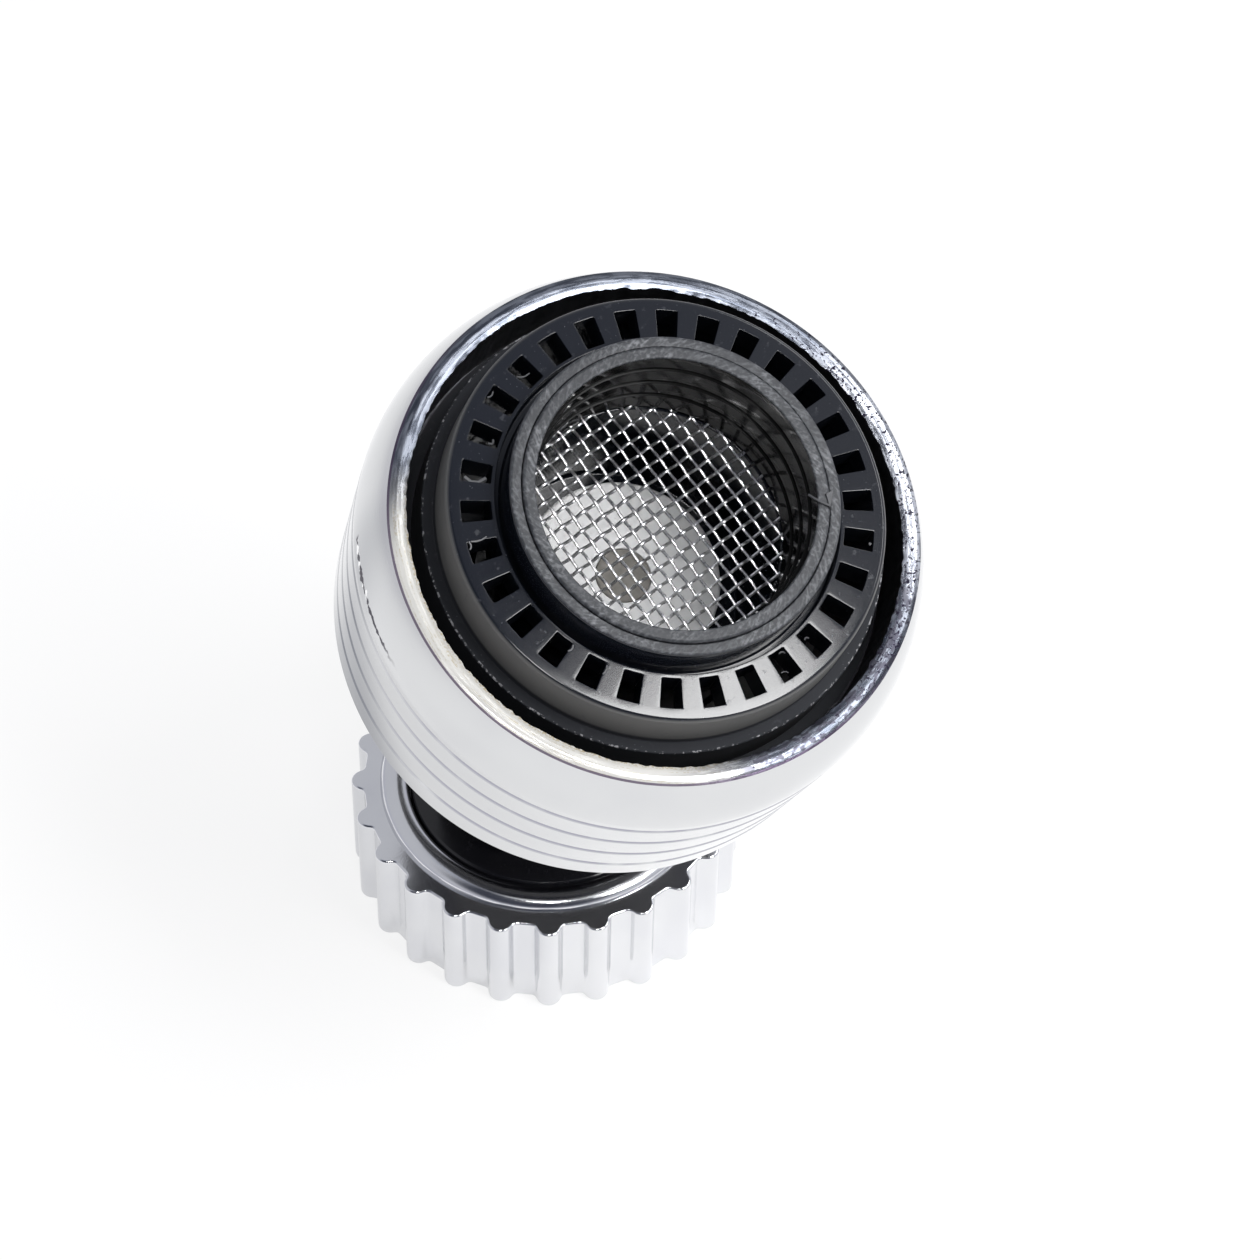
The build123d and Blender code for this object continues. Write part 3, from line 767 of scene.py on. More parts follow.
STEEL_WIRE = Metal("drawn_steel", (0.80, 0.80, 0.81, 1.0), (0.6, 0.6, 0.61, 1.0), 0.27)
# dull thin plating in the shell's bore, partly painted shade: darkened to near black
SHADED_BORE_METAL = Metal("shaded_dull_bore_plating", (0.10, 0.10, 0.11, 1.0), (0.05, 0.05, 0.055, 1.0), 0.4)
# pin head whose grey-brown colour is painted shade, standing for the shaded hole in the disc
SHADE_TONED_PIN = Metal("shade_toned_pin", (0.30, 0.285, 0.265, 1.0), (0.22, 0.21, 0.19, 1.0), 0.75,
                   metallic=0.0, gloss=0.1)
PALE_FLOOR = PaleFloor("pale_floor")


def even_angles(count: int) -> list[float]:
    """Angles evenly spaced round a turn."""
    return [math.tau * step / count for step in range(count)]


def rounded(corners: Sequence[Corner]) -> list[SectionPoint]:
    """Closed section with its corners rounded off.

    Args:
        corners: radius, height and rounding of each corner, in order.

    Returns:
        Points of the section.
    """
    points: list[SectionPoint] = []
    for index, (radius, height, rounding) in enumerate(corners):
        if rounding <= 0.0:
            points.append((radius, height))
            continue
        here = Vector((radius, height))
        before = Vector(corners[index - 1][:2]) - here
        after = Vector(corners[(index + 1) % len(corners)][:2]) - here
        half = before.angle(after) / 2
        run = rounding / math.tan(half)
        start = here + before.normalized() * run
        end = here + after.normalized() * run
        inwards = (before.normalized() + after.normalized()).normalized()
        centre = here + inwards * (rounding / math.sin(half))
        for step in range(ROUNDING_CHORDS + 1):
            spoke = (start - centre).lerp(end - centre, step / ROUNDING_CHORDS)
            points.append(tuple(centre + spoke.normalized() * rounding))
    return points


def arc(centre: SectionPoint, radius: float, span: Band, steps: int) -> list[Corner]:
    """Corners along an arc of a section.

    Args:
        centre: middle of the arc.
        radius: its radius.
        span: first and last angle in degrees, from the radius axis.
        steps: chords.

    Returns:
        Corners with no rounding.
    """
    across, up = centre
    start, end = span
    angles = [math.radians(start + (end - start) * step / steps) for step in range(steps + 1)]
    return [(across + radius * math.cos(a), up + radius * math.sin(a), 0.0) for a in angles]


class Solid:
    """Vertices and faces of one piece, in millimetres."""

    def __init__(self) -> None:
        """Start empty."""
        self.points: list[Point] = []
        self.faces: list[tuple[int, ...]] = []
        self.finish_of: list[int] = []

    def loop(self, points: Iterable[Point]) -> list[int]:
        """Add vertices.

        Args:
            points: where they are.

        Returns:
            Their numbers.
        """
        first = len(self.points)
        self.points.extend(points)
        return list(range(first, len(self.points)))

    def face(self, corners: Sequence[int], finish: int = 0) -> None:
        """Add one face with one of the piece's finishes."""
        self.faces.append(tuple(corners))
        self.finish_of.append(int(finish))

    def bridge(self, first: Sequence[int], second: Sequence[int], finish: int = 0,
               gaps: frozenset[int] = frozenset()) -> None:
        """Join two closed loops with quads.

        Args:
            first: one loop.
            second: the other, of the same count.
            finish: finish of the quads.
            gaps: cells that stay open.
        """
        count = len(first)
        for cell in range(count):
            if cell not in gaps:
                after = (cell + 1) % count
                self.face((first[cell], first[after], second[after], second[cell]), finish)

    def loft(self, loops: Sequence[Sequence[int]], finish: int = 0, closed: bool = True) -> None:
        """Join loops in order, and the last to the first where closed."""
        for index in range(len(loops) if closed else len(loops) - 1):
            self.bridge(loops[index], loops[(index + 1) % len(loops)], finish)

    def bar(self, loops: Sequence[Sequence[int]], finish: int) -> None:
        """Join loops in order and close both ends.

        Args:
            loops: the loops.
            finish: finish of the faces.
        """
        self.loft(loops, finish, closed=False)
        self.face(loops[0], finish)
        self.face(loops[-1], finish)

    def ring(self, radius: float, height: float, angles: Sequence[float]) -> list[int]:
        """Add one level circle."""
        return self.loop((radius * math.cos(a), radius * math.sin(a), height) for a in angles)

    def turn(self, corners: Sequence[Corner], facets: int, bore: float = 0.0) -> "Solid":
        """Revolve a closed section about Z.  A point on the axis closes the piece there.

        Args:
            corners: radius, height and rounding of the section's corners, in order.
            facets: how often the section is repeated.
            bore: radius up to which the faces take the second finish.

        Returns:
            The solid itself.
        """
        section = rounded(corners)
        angles = even_angles(facets)
        loops = [self.ring(max(radius, AXIS_RADIUS), height, angles) for radius, height in section]
        for index, first in enumerate(loops):
            following = (index + 1) % len(loops)
            reach = max(section[index][0], section[following][0])
            if reach > 0.0:
                self.bridge(first, loops[following], int(reach < bore))
        return self

    def tube(self, path: Sequence[Vector], radius: float, sides: int, finish: int = 0) -> None:
        """Add a round bar along a path, closed at its ends.

        Args:
            path: points along its middle.
            radius: its radius.
            sides: sides of its section.
            finish: finish of the faces.
        """
        loops = []
        for index, point in enumerate(path):
            ahead = path[min(index + 1, len(path) - 1)] - path[max(index - 1, 0)]
            side = ahead.cross(Vector((0.0, 0.0, 1.0))).normalized()
            up = side.cross(ahead).normalized()
            loops.append(self.loop(tuple(point + radius * (math.cos(a) * side + math.sin(a) * up))
                                   for a in even_angles(sides)))
        self.bar(loops, finish)

    def build(self, name: str, finishes: Sequence[Finish],
              soften: Optional[Softener] = None) -> bpy.types.Object:
        """Make the Blender object.

        Its normals are weighed by face area while it is still in millimetres, because in metres the
        weights of such small faces vanish.

        Args:
            name: the object's name.
            finishes: its finishes, in the order of their numbers.
            soften: work on the joined faces before the normals are set.

        Returns:
            The object, at the origin.
        """
        mesh = bpy.data.meshes.new(name)
        mesh.from_pydata(self.points, [], self.faces)
        for finish in finishes:
            mesh.materials.append(finish.material())
        mesh.polygons.foreach_set("material_index", self.finish_of)
        work = bmesh.new()
        work.from_mesh(mesh)
        bmesh.ops.remove_doubles(work, verts=work.verts, dist=WELD)
        bmesh.ops.recalc_face_normals(work, faces=work.faces)
        if soften is not None:
            soften(work)
        work.to_mesh(mesh)
        work.free()
        mesh.shade_smooth()
        mesh.set_sharp_from_angle(angle=CREASE)
        piece = bpy.data.objects.new(name, mesh)
        bpy.context.scene.collection.objects.link(piece)
        weighted = piece.modifiers.new("facing", "WEIGHTED_NORMAL")
        weighted.keep_sharp = True
        depsgraph = bpy.context.evaluated_depsgraph_get()
        faced = bpy.data.meshes.new_from_object(piece.evaluated_get(depsgraph))
        faced.transform(Matrix.Scale(MM, 4))
        piece.modifiers.clear()
        piece.data = faced
        bpy.data.meshes.remove(mesh)
        faced.name = name
        return piece


@dataclass(frozen=True)
class Wires:
    """One of the two sets of wires of a cloth: its directions, spacing and first place."""

    across: Vector
    along: Vector
    pitch: float
    start: float


@dataclass
class WireCloth:
    """Round piece of plain-woven wire cloth."""

    radius: float
    wire: float
    level: float
    warp_pitch: float
    weft_pitch: float
    warp_heading: float
    weft_heading: float
    warp_start: float = 0.0
    weft_start: float = 0.0
    warp_crimp: float = 0.5
    chords: int = 8
    sides: int = 8

    def strand(self, wires: Wires, offset: float, crossed: Wires, swing: float) -> list[Vector]:
        """Path of one wire.

        Args:
            wires: the set that it belongs to.
            offset: its place across.
            crossed: the set that it crosses.
            swing: how far it rises over the first of them, less than 0 where it passes under.

        Returns:
            Points along its middle.
        """
        reach = math.sqrt(self.radius ** 2 - offset ** 2)
        step = crossed.pitch / self.chords
        count = int(reach / step)
        path = []
        for index in range(-count, count + 1):
            run = index * step
            lift = swing * math.cos(math.pi * (run - crossed.start) / crossed.pitch)
            place = wires.across * offset + wires.along * run
            path.append(place + Vector((0.0, 0.0, self.level + lift)))
        return path

    def solid(self) -> Solid:
        """Weave all the wires.

        Returns:
            The cloth.
        """
        cloth = Solid()
        warp_across, weft_along = (Vector((math.cos(a), math.sin(a), 0.0))
                                   for a in (self.warp_heading, self.weft_heading))
        warp_along, weft_across = (Vector((-way.y, way.x, 0.0))
                                   for way in (warp_across, weft_along))
        warp = Wires(warp_across, warp_along, self.warp_pitch, self.warp_start)
        weft = Wires(weft_across, weft_along, self.weft_pitch, self.weft_start)
        lift = self.warp_crimp * self.wire
        for wires, crossed, swing in ((warp, weft, lift), (weft, warp, lift - self.wire)):
            count = int(self.radius / wires.pitch)
            for number in range(-count, count + 1):
                offset = wires.start + number * wires.pitch
                if abs(offset) < self.radius - wires.pitch / 3:
                    path = self.strand(wires, offset, crossed, swing if number % 2 == 0 else -swing)
                    cloth.tube(path, self.wire / 2, self.sides)
        return cloth


@dataclass(frozen=True)
class FlashBit:
    """Sliver of moulding flash left at a slot: where its middle is, and how it lies."""

    angle: float
    radius: float
    heading: float
    length: float
    width: float
    sunk: float
    pale: bool

    def path(self, face: float) -> list[Vector]:
        """Bent line of the sliver.

        Args:
            face: level of the slotted face.

        Returns:
            Its points.
        """
        turn = math.radians(self.angle)
        lie = math.radians(self.angle + self.heading)
        x, y = self.radius * math.cos(turn), self.radius * math.sin(turn)
        middle = Vector((x, y, face - self.sunk))
        along = Vector((math.cos(lie), math.sin(lie), 0.0)) * self.length / 2
        aside = Vector((-math.sin(lie), math.cos(lie), 0.0)) * self.width
        return [middle - along, middle - along * 0.3 + aside, middle + along * 0.4 + aside,
                middle + along]


FLASH_BITS = (
    FlashBit(109.9, 11.8, 65.0, 0.8, 0.1, 0.3, False),
    FlashBit(121.2, 12.6, 80.0, 0.5, 0.1, 0.15, False),
    FlashBit(134.4, 11.35, 60.0, 0.4, 0.16, 0.2, False),
    FlashBit(146.6, 11.8, 5.0, 1.3, 0.3, 0.35, False),
    FlashBit(165.9, 11.95, 8.0, 1.0, 0.1, 0.0, True),
    FlashBit(167.3, 12.62, 80.0, 0.5, 0.1, 0.0, True),
    FlashBit(208.6, 11.2, -6.0, 0.5, 0.1, 0.0, True),
    FlashBit(220.7, 11.35, -4.0, 0.6, 0.08, 0.0, True),
    FlashBit(276.5, 12.2, 60.0, 0.45, 0.08, 0.3, False),
    FlashBit(279.4, 11.15, 60.0, 0.4, 0.1, 0.3, False),
    FlashBit(288.6, 11.45, 70.0, 0.3, 0.1, 0.3, False),
    FlashBit(324.6, 12.6, 85.0, 0.14, 0.12, 0.05, True),
)


@dataclass
class SubAssembly:
    """A body of the frame, with the place of the pieces that ride on it."""

    body: str
    place: Matrix

    def seat(self, solid: Solid, node: str, slot: Slot, *finishes: Finish,
             soften: Optional[Softener] = None) -> None:
        """Put a piece where its CAD node is.

        Args:
            solid: the piece's shape.
            node: the CAD node that it stands for.
            slot: its material slot; not used.
            finishes: its finishes, in the order of their numbers.
            soften: work on its joined faces, where it needs any.
        """
        piece = solid.build(node + "_look", finishes, soften)
        piece.matrix_world = self.place
        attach(piece, self.body)
        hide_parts(node)
        LOG.info("%s: %d faces on %s", piece.name, len(piece.data.polygons), self.body)

    @staticmethod
    def dress(nodes: dict[str, bpy.types.Object], finish: Finish, *names: str) -> None:
        """Give CAD nodes that stay a finish.

        Args:
            nodes: the frame's nodes.
            finish: their finish.
            names: which nodes.
        """
        for name in names:
            nodes[name].data.materials.clear()
            nodes[name].data.materials.append(finish.material())
            LOG.info("%s: CAD node in %s", name, finish.name)


@dataclass
class NutAssembly(SubAssembly):
    """Fluted nut with its thread, washer and debris screen."""

    height: float = 8.4
    tip_radius: float = 13.55
    ridge_radius: float = 0.9
    ridge_count: int = 24
    ridge_points: int = 14
    valley_points: int = 7
    smoothings: int = 2
    edge: float = 0.18
    edge_steps: int = 4
    ring_inner: float = 9.55
    ring_width: float = 2.0
    ring_height: float = 0.8
    ring_steps: int = 12
    lip_underside: float = 7.2
    chamber_radius: float = 10.8
    thread_radius: float = 10.5
    thread_pitch: float = 1.0
    thread_depth: float = 0.45
    thread_length: float = 3.55
    thread_levels: int = 46
    thread_runout: float = 0.25
    flank_slope: float = 2.4
    flank_start: float = 0.1
    washer_outer: float = 10.75
    washer_hole: float = 6.4
    washer_top: float = 5.75
    washer_facets: int = 160
    rebate_depth: float = 0.45
    rebate_fit: float = 0.05
    screen_radius: float = 7.6
    screen_level: float = 5.5
    screen_wire: float = 0.17
    screen_pitch: float = 0.62
    screen_heading: float = 0.3
    screen_chords: int = 6
    screen_rim: float = 0.9
    screen_rim_half: float = 0.18
    screen_tuck: float = 0.3
    screen_facets: int = 120

    def outline(self) -> list[Vector]:
        """Ridged outline of the nut, with soft feet to its ridges.

        Returns:
            Points round the outline.
        """
        valley = self.tip_radius - self.ridge_radius
        spread = math.acos(-self.ridge_radius / (2 * valley))
        foot = math.atan2(self.ridge_radius * math.sin(spread),
                          valley + self.ridge_radius * math.cos(spread))
        pitch = math.tau / self.ridge_count
        points = []
        for ridge in range(self.ridge_count):
            turn = Matrix.Rotation(ridge * pitch, 2)
            for step in range(self.ridge_points + 1):
                a = spread * (2 * step / self.ridge_points - 1)
                points.append(turn @ Vector((valley + self.ridge_radius * math.cos(a),
                                             self.ridge_radius * math.sin(a))))
            for step in range(1, self.valley_points):
                a = foot + (pitch - 2 * foot) * step / self.valley_points
                points.append(turn @ Vector((valley * math.cos(a), valley * math.sin(a))))
        for _ in range(self.smoothings):
            points = [point * 0.5 + (points[index - 1] + points[(index + 1) % len(points)]) * 0.25
                      for index, point in enumerate(points)]
        return points

    def inset(self, outline: Sequence[Vector], by: float) -> list[Vector]:
        """Outline moved inwards along its own normals.

        Args:
            outline: the outline's points.
            by: how far.

        Returns:
            The moved points.
        """
        moved = []
        for index, point in enumerate(outline):
            ahead = outline[(index + 1) % len(outline)] - outline[index - 1]
            moved.append(point - Vector((ahead.y, -ahead.x)).normalized() * by)
        return moved

    def nut(self) -> Solid:
        """Ridged body, raised ring, captive lip and threaded mouth.

        Returns:
            The nut.
        """
        nut = Solid()
        outline = self.outline()
        angles = [math.atan2(point.y, point.x) for point in outline]
        loops = []
        for end, sign in ((0.0, 1.0), (self.height, -1.0)):
            levels = []
            for step in range(self.edge_steps + 1):
                a = math.pi / 2 * step / self.edge_steps
                level = end + sign * self.edge * (1 - math.cos(a))
                inset = self.inset(outline, self.edge * (1 - math.sin(a)))
                levels.append(nut.loop((p.x, p.y, level) for p in inset))
            loops.extend(levels if sign > 0 else levels[::-1])
        middle = self.ring_inner + self.ring_width / 2
        for step in range(self.ring_steps + 1):
            a = math.pi * step / self.ring_steps
            level = self.height + self.ring_height * math.sin(a)
            loops.append(nut.ring(middle + self.ring_width / 2 * math.cos(a), level, angles))
        for radius, level in ((self.ring_inner, self.lip_underside),
                              (self.chamber_radius, self.lip_underside),
                              (self.chamber_radius, self.thread_length)):
            loops.append(nut.ring(radius, level, angles))
        for step in range(self.thread_levels + 1):
            level = self.thread_length * (1 - step / self.thread_levels)
            from_end = min(level, self.thread_length - level)
            runout = self.thread_pitch * self.thread_runout
            depth = self.thread_depth * min(1.0, from_end / runout)
            loops.append(nut.loop(self.thread_point(level, depth, a) for a in angles))
        nut.loft(loops)
        return nut

    def thread_point(self, height: float, depth: float, angle: float) -> Point:
        """Point of the threaded wall.

        Args:
            height: its level.
            depth: depth of the thread there.
            angle: its direction.

        Returns:
            The point.
        """
        phase = (height / self.thread_pitch - angle / math.tau) % 1.0
        flank = min(1.0, max(0.0, self.flank_slope * abs(phase - 0.5) - self.flank_start))
        radius = self.thread_radius + depth * (1.0 - flank)
        return (radius * math.cos(angle), radius * math.sin(angle), height)

    def washer(self) -> Solid:
        """Rubber washer with the screen's rebate.

        Returns:
            The washer.
        """
        rebate = self.screen_radius + self.rebate_fit
        floor = self.washer_top - self.rebate_depth
        section = [(self.washer_hole, self.thread_length, 0.2),
                   (self.washer_outer, self.thread_length, 0.2),
                   (self.washer_outer, self.washer_top, 0.1), (rebate, self.washer_top, 0.05),
                   (rebate, floor, 0.0), (self.washer_hole, floor, 0.1)]
        return Solid().turn(section, self.washer_facets)

    def screen(self) -> Solid:
        """Debris screen of fine wire cloth in a pressed rim.

        Returns:
            The screen.
        """
        cloth = WireCloth(self.screen_radius - self.screen_tuck, self.screen_wire,
                          self.screen_level, self.screen_pitch, self.screen_pitch,
                          self.screen_heading, self.screen_heading,
                          chords=self.screen_chords, sides=self.screen_chords)
        inner = self.screen_radius - self.screen_rim
        low, high = (self.screen_level + side * self.screen_rim_half for side in (-1, 1))
        section = [(inner, low, 0.05), (self.screen_radius, low, 0.08),
                   (self.screen_radius, high, 0.08), (inner, high, 0.05)]
        return cloth.solid().turn(section, self.screen_facets)

    def build(self, nodes: dict[str, bpy.types.Object]) -> None:
        """Make and dress all the nut's pieces.

        Args:
            nodes: the frame's nodes.
        """
        self.seat(self.nut(), "union_nut", Slot.CHROME, CHROME)
        self.seat(self.washer(), "tap_washer", Slot.RUBBER, RUBBER)
        self.seat(self.screen(), "inlet_strainer", Slot.WIRE, STEEL_WIRE)
        self.dress(nodes, ACETAL, "slip_ring")


@dataclass
class StemAssembly(SubAssembly):
    """Ball stem: captive flange, domed shoulder, neck and bored ball."""

    flange_bottom: float = 5.8
    flange_top: float = 6.8
    flange_radius: float = 10.35
    shoulder_radius: float = 9.45
    shoulder_edge: float = 8.7
    dome: tuple[SectionPoint, ...] = ((7.8, 9.02), (6.6, 9.17))
    dome_radius: float = 5.8
    dome_top: float = 9.25
    neck_radius: float = 4.2
    ball_centre: float = 17.8
    ball_radius: float = 8.0
    ball_chords: int = 48
    waterway: float = 3.2
    mouth_flare: float = 0.5
    mouth_depth: float = 2.2
    inlet_radius: float = 6.0
    facets: int = 192

    def stem(self) -> Solid:
        """Flange, shoulder, neck and ball round the waterway.

        Returns:
            The stem.
        """
        join = math.degrees(math.asin(self.neck_radius / self.ball_radius)) - 90
        mouth = math.degrees(math.acos((self.waterway + self.mouth_flare) / self.ball_radius))
        ball_top = self.ball_centre + self.ball_radius
        section = [(self.inlet_radius, self.flange_bottom, 0.2),
                   (self.flange_radius, self.flange_bottom, 0.15),
                   (self.flange_radius, self.flange_top, 0.15),
                   (self.shoulder_radius, self.flange_top, 0.0),
                   (self.shoulder_radius, self.shoulder_edge, 0.35),
                   *((radius, height, 0.0) for radius, height in self.dome),
                   (self.dome_radius, self.dome_top, 0.3), (self.neck_radius, self.dome_top, 0.5),
                   *arc((0.0, self.ball_centre), self.ball_radius, (join, mouth), self.ball_chords),
                   (self.waterway, ball_top - self.mouth_depth, 0.4),
                   (self.waterway, self.dome_top, 0.6)]
        return Solid().turn(section, self.facets)

    def build(self) -> None:
        """Make and dress the stem."""
        self.seat(self.stem(), "ball_stem", Slot.CARRIER, BLACK_PLASTIC)


@dataclass
class TailAssembly(SubAssembly):
    """Rear of the head: bell-shaped cap, and the valve disc on its pin."""

    cap_radius: float = 12.85
    cap_bore: float = 10.95
    seat_bore: float = 10.2
    cap_front: float = 20.1
    cap_step: float = 8.1
    cylinder_end: float = 10.5
    bell_chords: int = 24
    socket_radius: float = 8.1
    socket_top: float = 1.6
    socket_chords: int = 16
    lip_angle: float = 58.0
    lip_width: float = 2.0
    lip_drop: float = 0.6
    disc_radius: float = 6.3
    disc_front: float = 23.8
    disc_thickness: float = 1.4
    pin_head: float = 1.75
    pin_head_thickness: float = 0.5
    pin_radius: float = 0.9
    pin_reach: float = 2.55
    pin_fit: float = 0.05
    cap_facets: int = 192
    disc_facets: int = 128
    pin_facets: int = 64

    def cap(self) -> Solid:
        """Bell that the ball sits in, with the cylinder that the shell slides on.

        Returns:
            The cap.
        """
        lip_radius = self.socket_radius * math.sin(math.radians(self.lip_angle))
        lip_level = -self.socket_radius * math.cos(math.radians(self.lip_angle))
        lip_end = lip_level - self.lip_drop
        outer = lip_radius + self.lip_width
        drop = self.cylinder_end - lip_level
        inset = self.cap_radius - outer
        bell = (drop ** 2 + inset ** 2) / (2 * inset)
        sweep = math.degrees(math.asin(drop / bell))
        socket_span = (self.lip_angle - 90,
                       math.degrees(math.asin(self.socket_top / self.socket_radius)))
        section = [*arc((self.cap_radius - bell, self.cylinder_end), bell, (0.0, -sweep),
                        self.bell_chords),
                   (outer - self.lip_drop / 2, lip_end, 0.2),
                   (lip_radius + self.lip_drop, lip_end, 0.2),
                   *arc((0.0, 0.0), self.socket_radius, socket_span, self.socket_chords),
                   (self.seat_bore, self.socket_top, 0.0), (self.seat_bore, self.cap_step, 0.0),
                   (self.cap_bore, self.cap_step, 0.0), (self.cap_bore, self.cap_front, 0.0),
                   (self.cap_radius, self.cap_front, 0.2)]
        return Solid().turn(section, self.cap_facets)

    def disc(self) -> Solid:
        """White disc with the pin's countersink.

        Returns:
            The disc.
        """
        back = self.disc_front - self.disc_thickness
        seat = self.disc_front - self.pin_head_thickness
        hole, sink = self.pin_radius + self.pin_fit, self.pin_head + self.pin_fit
        section = [(hole, back, 0.0), (self.disc_radius, back, 0.2),
                   (self.disc_radius, self.disc_front, 0.25), (sink, self.disc_front, 0.06),
                   (sink, seat, 0.0), (hole, seat, 0.0)]
        return Solid().turn(section, self.disc_facets)

    def pin(self) -> Solid:
        """Flat-headed pin through the disc.

        Returns:
            The pin.
        """
        seat = self.disc_front - self.pin_head_thickness
        foot = self.disc_front - self.disc_thickness - self.pin_reach
        section = [(0.0, foot, 0.0), (self.pin_radius, foot, 0.15), (self.pin_radius, seat, 0.0),
                   (self.pin_head, seat, 0.0), (self.pin_head, self.disc_front, 0.1),
                   (0.0, self.disc_front, 0.0)]
        return Solid().turn(section, self.pin_facets)

    def build(self, nodes: dict[str, bpy.types.Object]) -> None:
        """Make and dress all the tail's pieces.

        Args:
            nodes: the frame's nodes.
        """
        self.seat(self.cap(), "rear_cap", Slot.CARRIER, BLACK_PLASTIC)
        self.seat(self.disc(), "valve_disc", Slot.WHITE, WHITE_PLASTIC)
        self.seat(self.pin(), "valve_pin", Slot.DULL, SHADE_TONED_PIN)
        self.dress(nodes, BLACK_PLASTIC, "carrier")
        self.dress(nodes, RUBBER, "cap_seal", "slide_seal", "tube_seal")


@dataclass
class BarrelAssembly(SubAssembly):
    """Grip shell, slotted core, wire mesh and sleeve, which slide together.

    The rim's corners are given from its inner or outer radius and its level, and the torn gate's
    points from the sleeve's top.
    """

    rim: float = 33.3
    rim_radius: float = 16.5
    rim_inner: float = 15.4
    rim_inside: tuple[Corner, ...] = ((0.0, -0.1, 0.06), (0.3, -0.02, 0.5))
    rim_outside: tuple[Corner, ...] = ((-0.45, 0.0, 0.5), (-0.2, -0.04, 0.3), (-0.02, -0.11, 0.0))
    rim_depth: float = 0.175
    lip_radius: float = 17.8
    lip_length: float = 5.0
    lip_chords: int = 28
    lip_blend: float = 1.0
    back: float = 15.0
    back_radius: float = 17.0
    back_edge: float = 0.5
    back_wall: float = 1.6
    hole_radius: float = 12.95
    bore_radius: float = 14.6
    step_level: float = 28.0
    shell_facets: int = 600
    groove_first: float = 5.9
    groove_pitch: float = 3.1
    groove_count: int = 4
    groove_half: float = 0.24
    groove_depth: float = 0.1
    ragged: float = 0.1
    ragged_reach: float = 0.2
    ragged_fine: float = 42.0
    ragged_coarse: float = 9.0
    face: float = 36.3
    face_fall: float = 0.0384
    face_radius: float = 13.55
    face_back: float = 34.1
    wall_draft: float = 0.12
    flange_radius: float = 14.4
    flange_level: float = 32.65
    core_seat: float = 29.0
    core_seat_radius: float = 15.2
    skirt_radius: float = 14.55
    skirt_back: float = 23.8
    channel_radius: float = 12.85
    collar_top: float = 38.3
    collar_radius: float = 10.15
    collar_bore: float = 9.43
    trim_depth: float = 0.1
    moat_floor: float = 35.1
    moat_radius: float = 10.62
    slot_inner: float = 10.87
    slot_outer: float = 12.73
    slot_count: int = 30
    slot_share: float = 0.52
    slot_start: float = math.radians(1.4)
    slot_cells: int = 4
    bar_cells: int = 4
    slot_corner: float = 0.09
    slot_rim: float = 0.03
    flash: tuple[FlashBit, ...] = FLASH_BITS
    flash_sides: int = 6
    ledge: float = 31.3
    ledge_back: float = 30.3
    tube_radius: float = 8.2
    tube_outer: float = 9.2
    tube_back: float = 19.3
    throat_radius: float = 6.4
    throat_lip: float = 1.2
    sleeve_outer: float = 9.38
    sleeve_top: float = 38.5
    sleeve_bore: float = 8.6
    sleeve_step: float = 0.12
    sleeve_steps: int = 3
    sleeve_facets: int = 240
    gate_foot: tuple[Point, ...] = ((8.95, -3.75, -0.1), (8.0, -4.85, -0.1), (8.15, -3.75, -0.1))
    gate_head: tuple[Point, ...] = ((8.8, -3.8, 0.12), (8.05, -4.7, 0.12), (8.25, -3.85, 0.12))
    gate_hook: tuple[Point, ...] = ((8.1, -4.6, 0.1), (7.7, -4.2, 0.16), (7.45, -3.8, 0.1),
                                    (7.32, -3.4, -0.1))
    hook_radius: float = 0.08
    hook_sides: int = 8
    mesh_thickness: float = 0.36
    mesh_fit: float = 0.1
    mesh_wire: float = 0.21
    mesh_pitches: Band = (0.86, 0.92)
    mesh_headings: Band = (math.radians(8.0), math.radians(10.5))
    mesh_starts: Band = (-0.06, -0.21)
    mesh_crimp: float = 0.3

    def shell(self) -> Solid:
        """Grip shell with rounded lip, grooves, ragged rim edge and stepped bore.

        Returns:
            The shell.
        """
        lip_level = self.rim - self.lip_length
        bulge = self.lip_radius - self.rim_radius
        bow = (self.lip_length ** 2 + bulge ** 2) / (2 * bulge)
        sweep = math.degrees(math.asin(self.lip_length / bow))
        section = [(start + out, self.rim + up, rounding)
                   for start, corners in ((self.rim_inner, self.rim_inside),
                                          (self.rim_radius, self.rim_outside))
                   for out, up, rounding in corners]
        section += arc((self.lip_radius - bow, lip_level), bow, (sweep - self.lip_blend, 0.0),
                       self.lip_chords)
        taper = (self.lip_radius - self.back_radius) / (lip_level - self.back - self.back_edge)
        for groove in range(self.groove_count):
            level = self.rim - self.groove_first - groove * self.groove_pitch
            surface = self.lip_radius - taper * (lip_level - level)
            section += [(surface, level + self.groove_half, 0.2),
                        (surface - self.groove_depth, level, 0.06),
                        (surface, level - self.groove_half, 0.2)]
        section += [(self.back_radius, self.back + self.back_edge, 0.3),
                    (self.back_radius - self.back_edge, self.back, 0.3),
                    (self.hole_radius, self.back, 0.15),
                    (self.hole_radius, self.back + self.back_wall, 0.0),
                    (self.bore_radius, self.back + self.back_wall, 0.0),
                    (self.bore_radius, self.step_level, 0.0),
                    (self.rim_inner, self.step_level, 0.0)]
        points = rounded(section)
        angles = even_angles(self.shell_facets)
        shell = Solid()
        loops = [shell.loop(self.rim_point(radius, height, a) for a in angles)
                 for radius, height in points]
        for index, first in enumerate(loops):
            following = (index + 1) % len(loops)
            finish = ShellFace.GRIP
            if max(points[index][0], points[following][0]) < self.rim_inner + HAIR:
                # bore faces take the dull plating painted dark as shade
                finish = ShellFace.BORE
            elif min(points[index][1], points[following][1]) > self.rim - self.rim_depth:
                finish = ShellFace.RIM
            shell.bridge(first, loops[following], finish)
        return shell

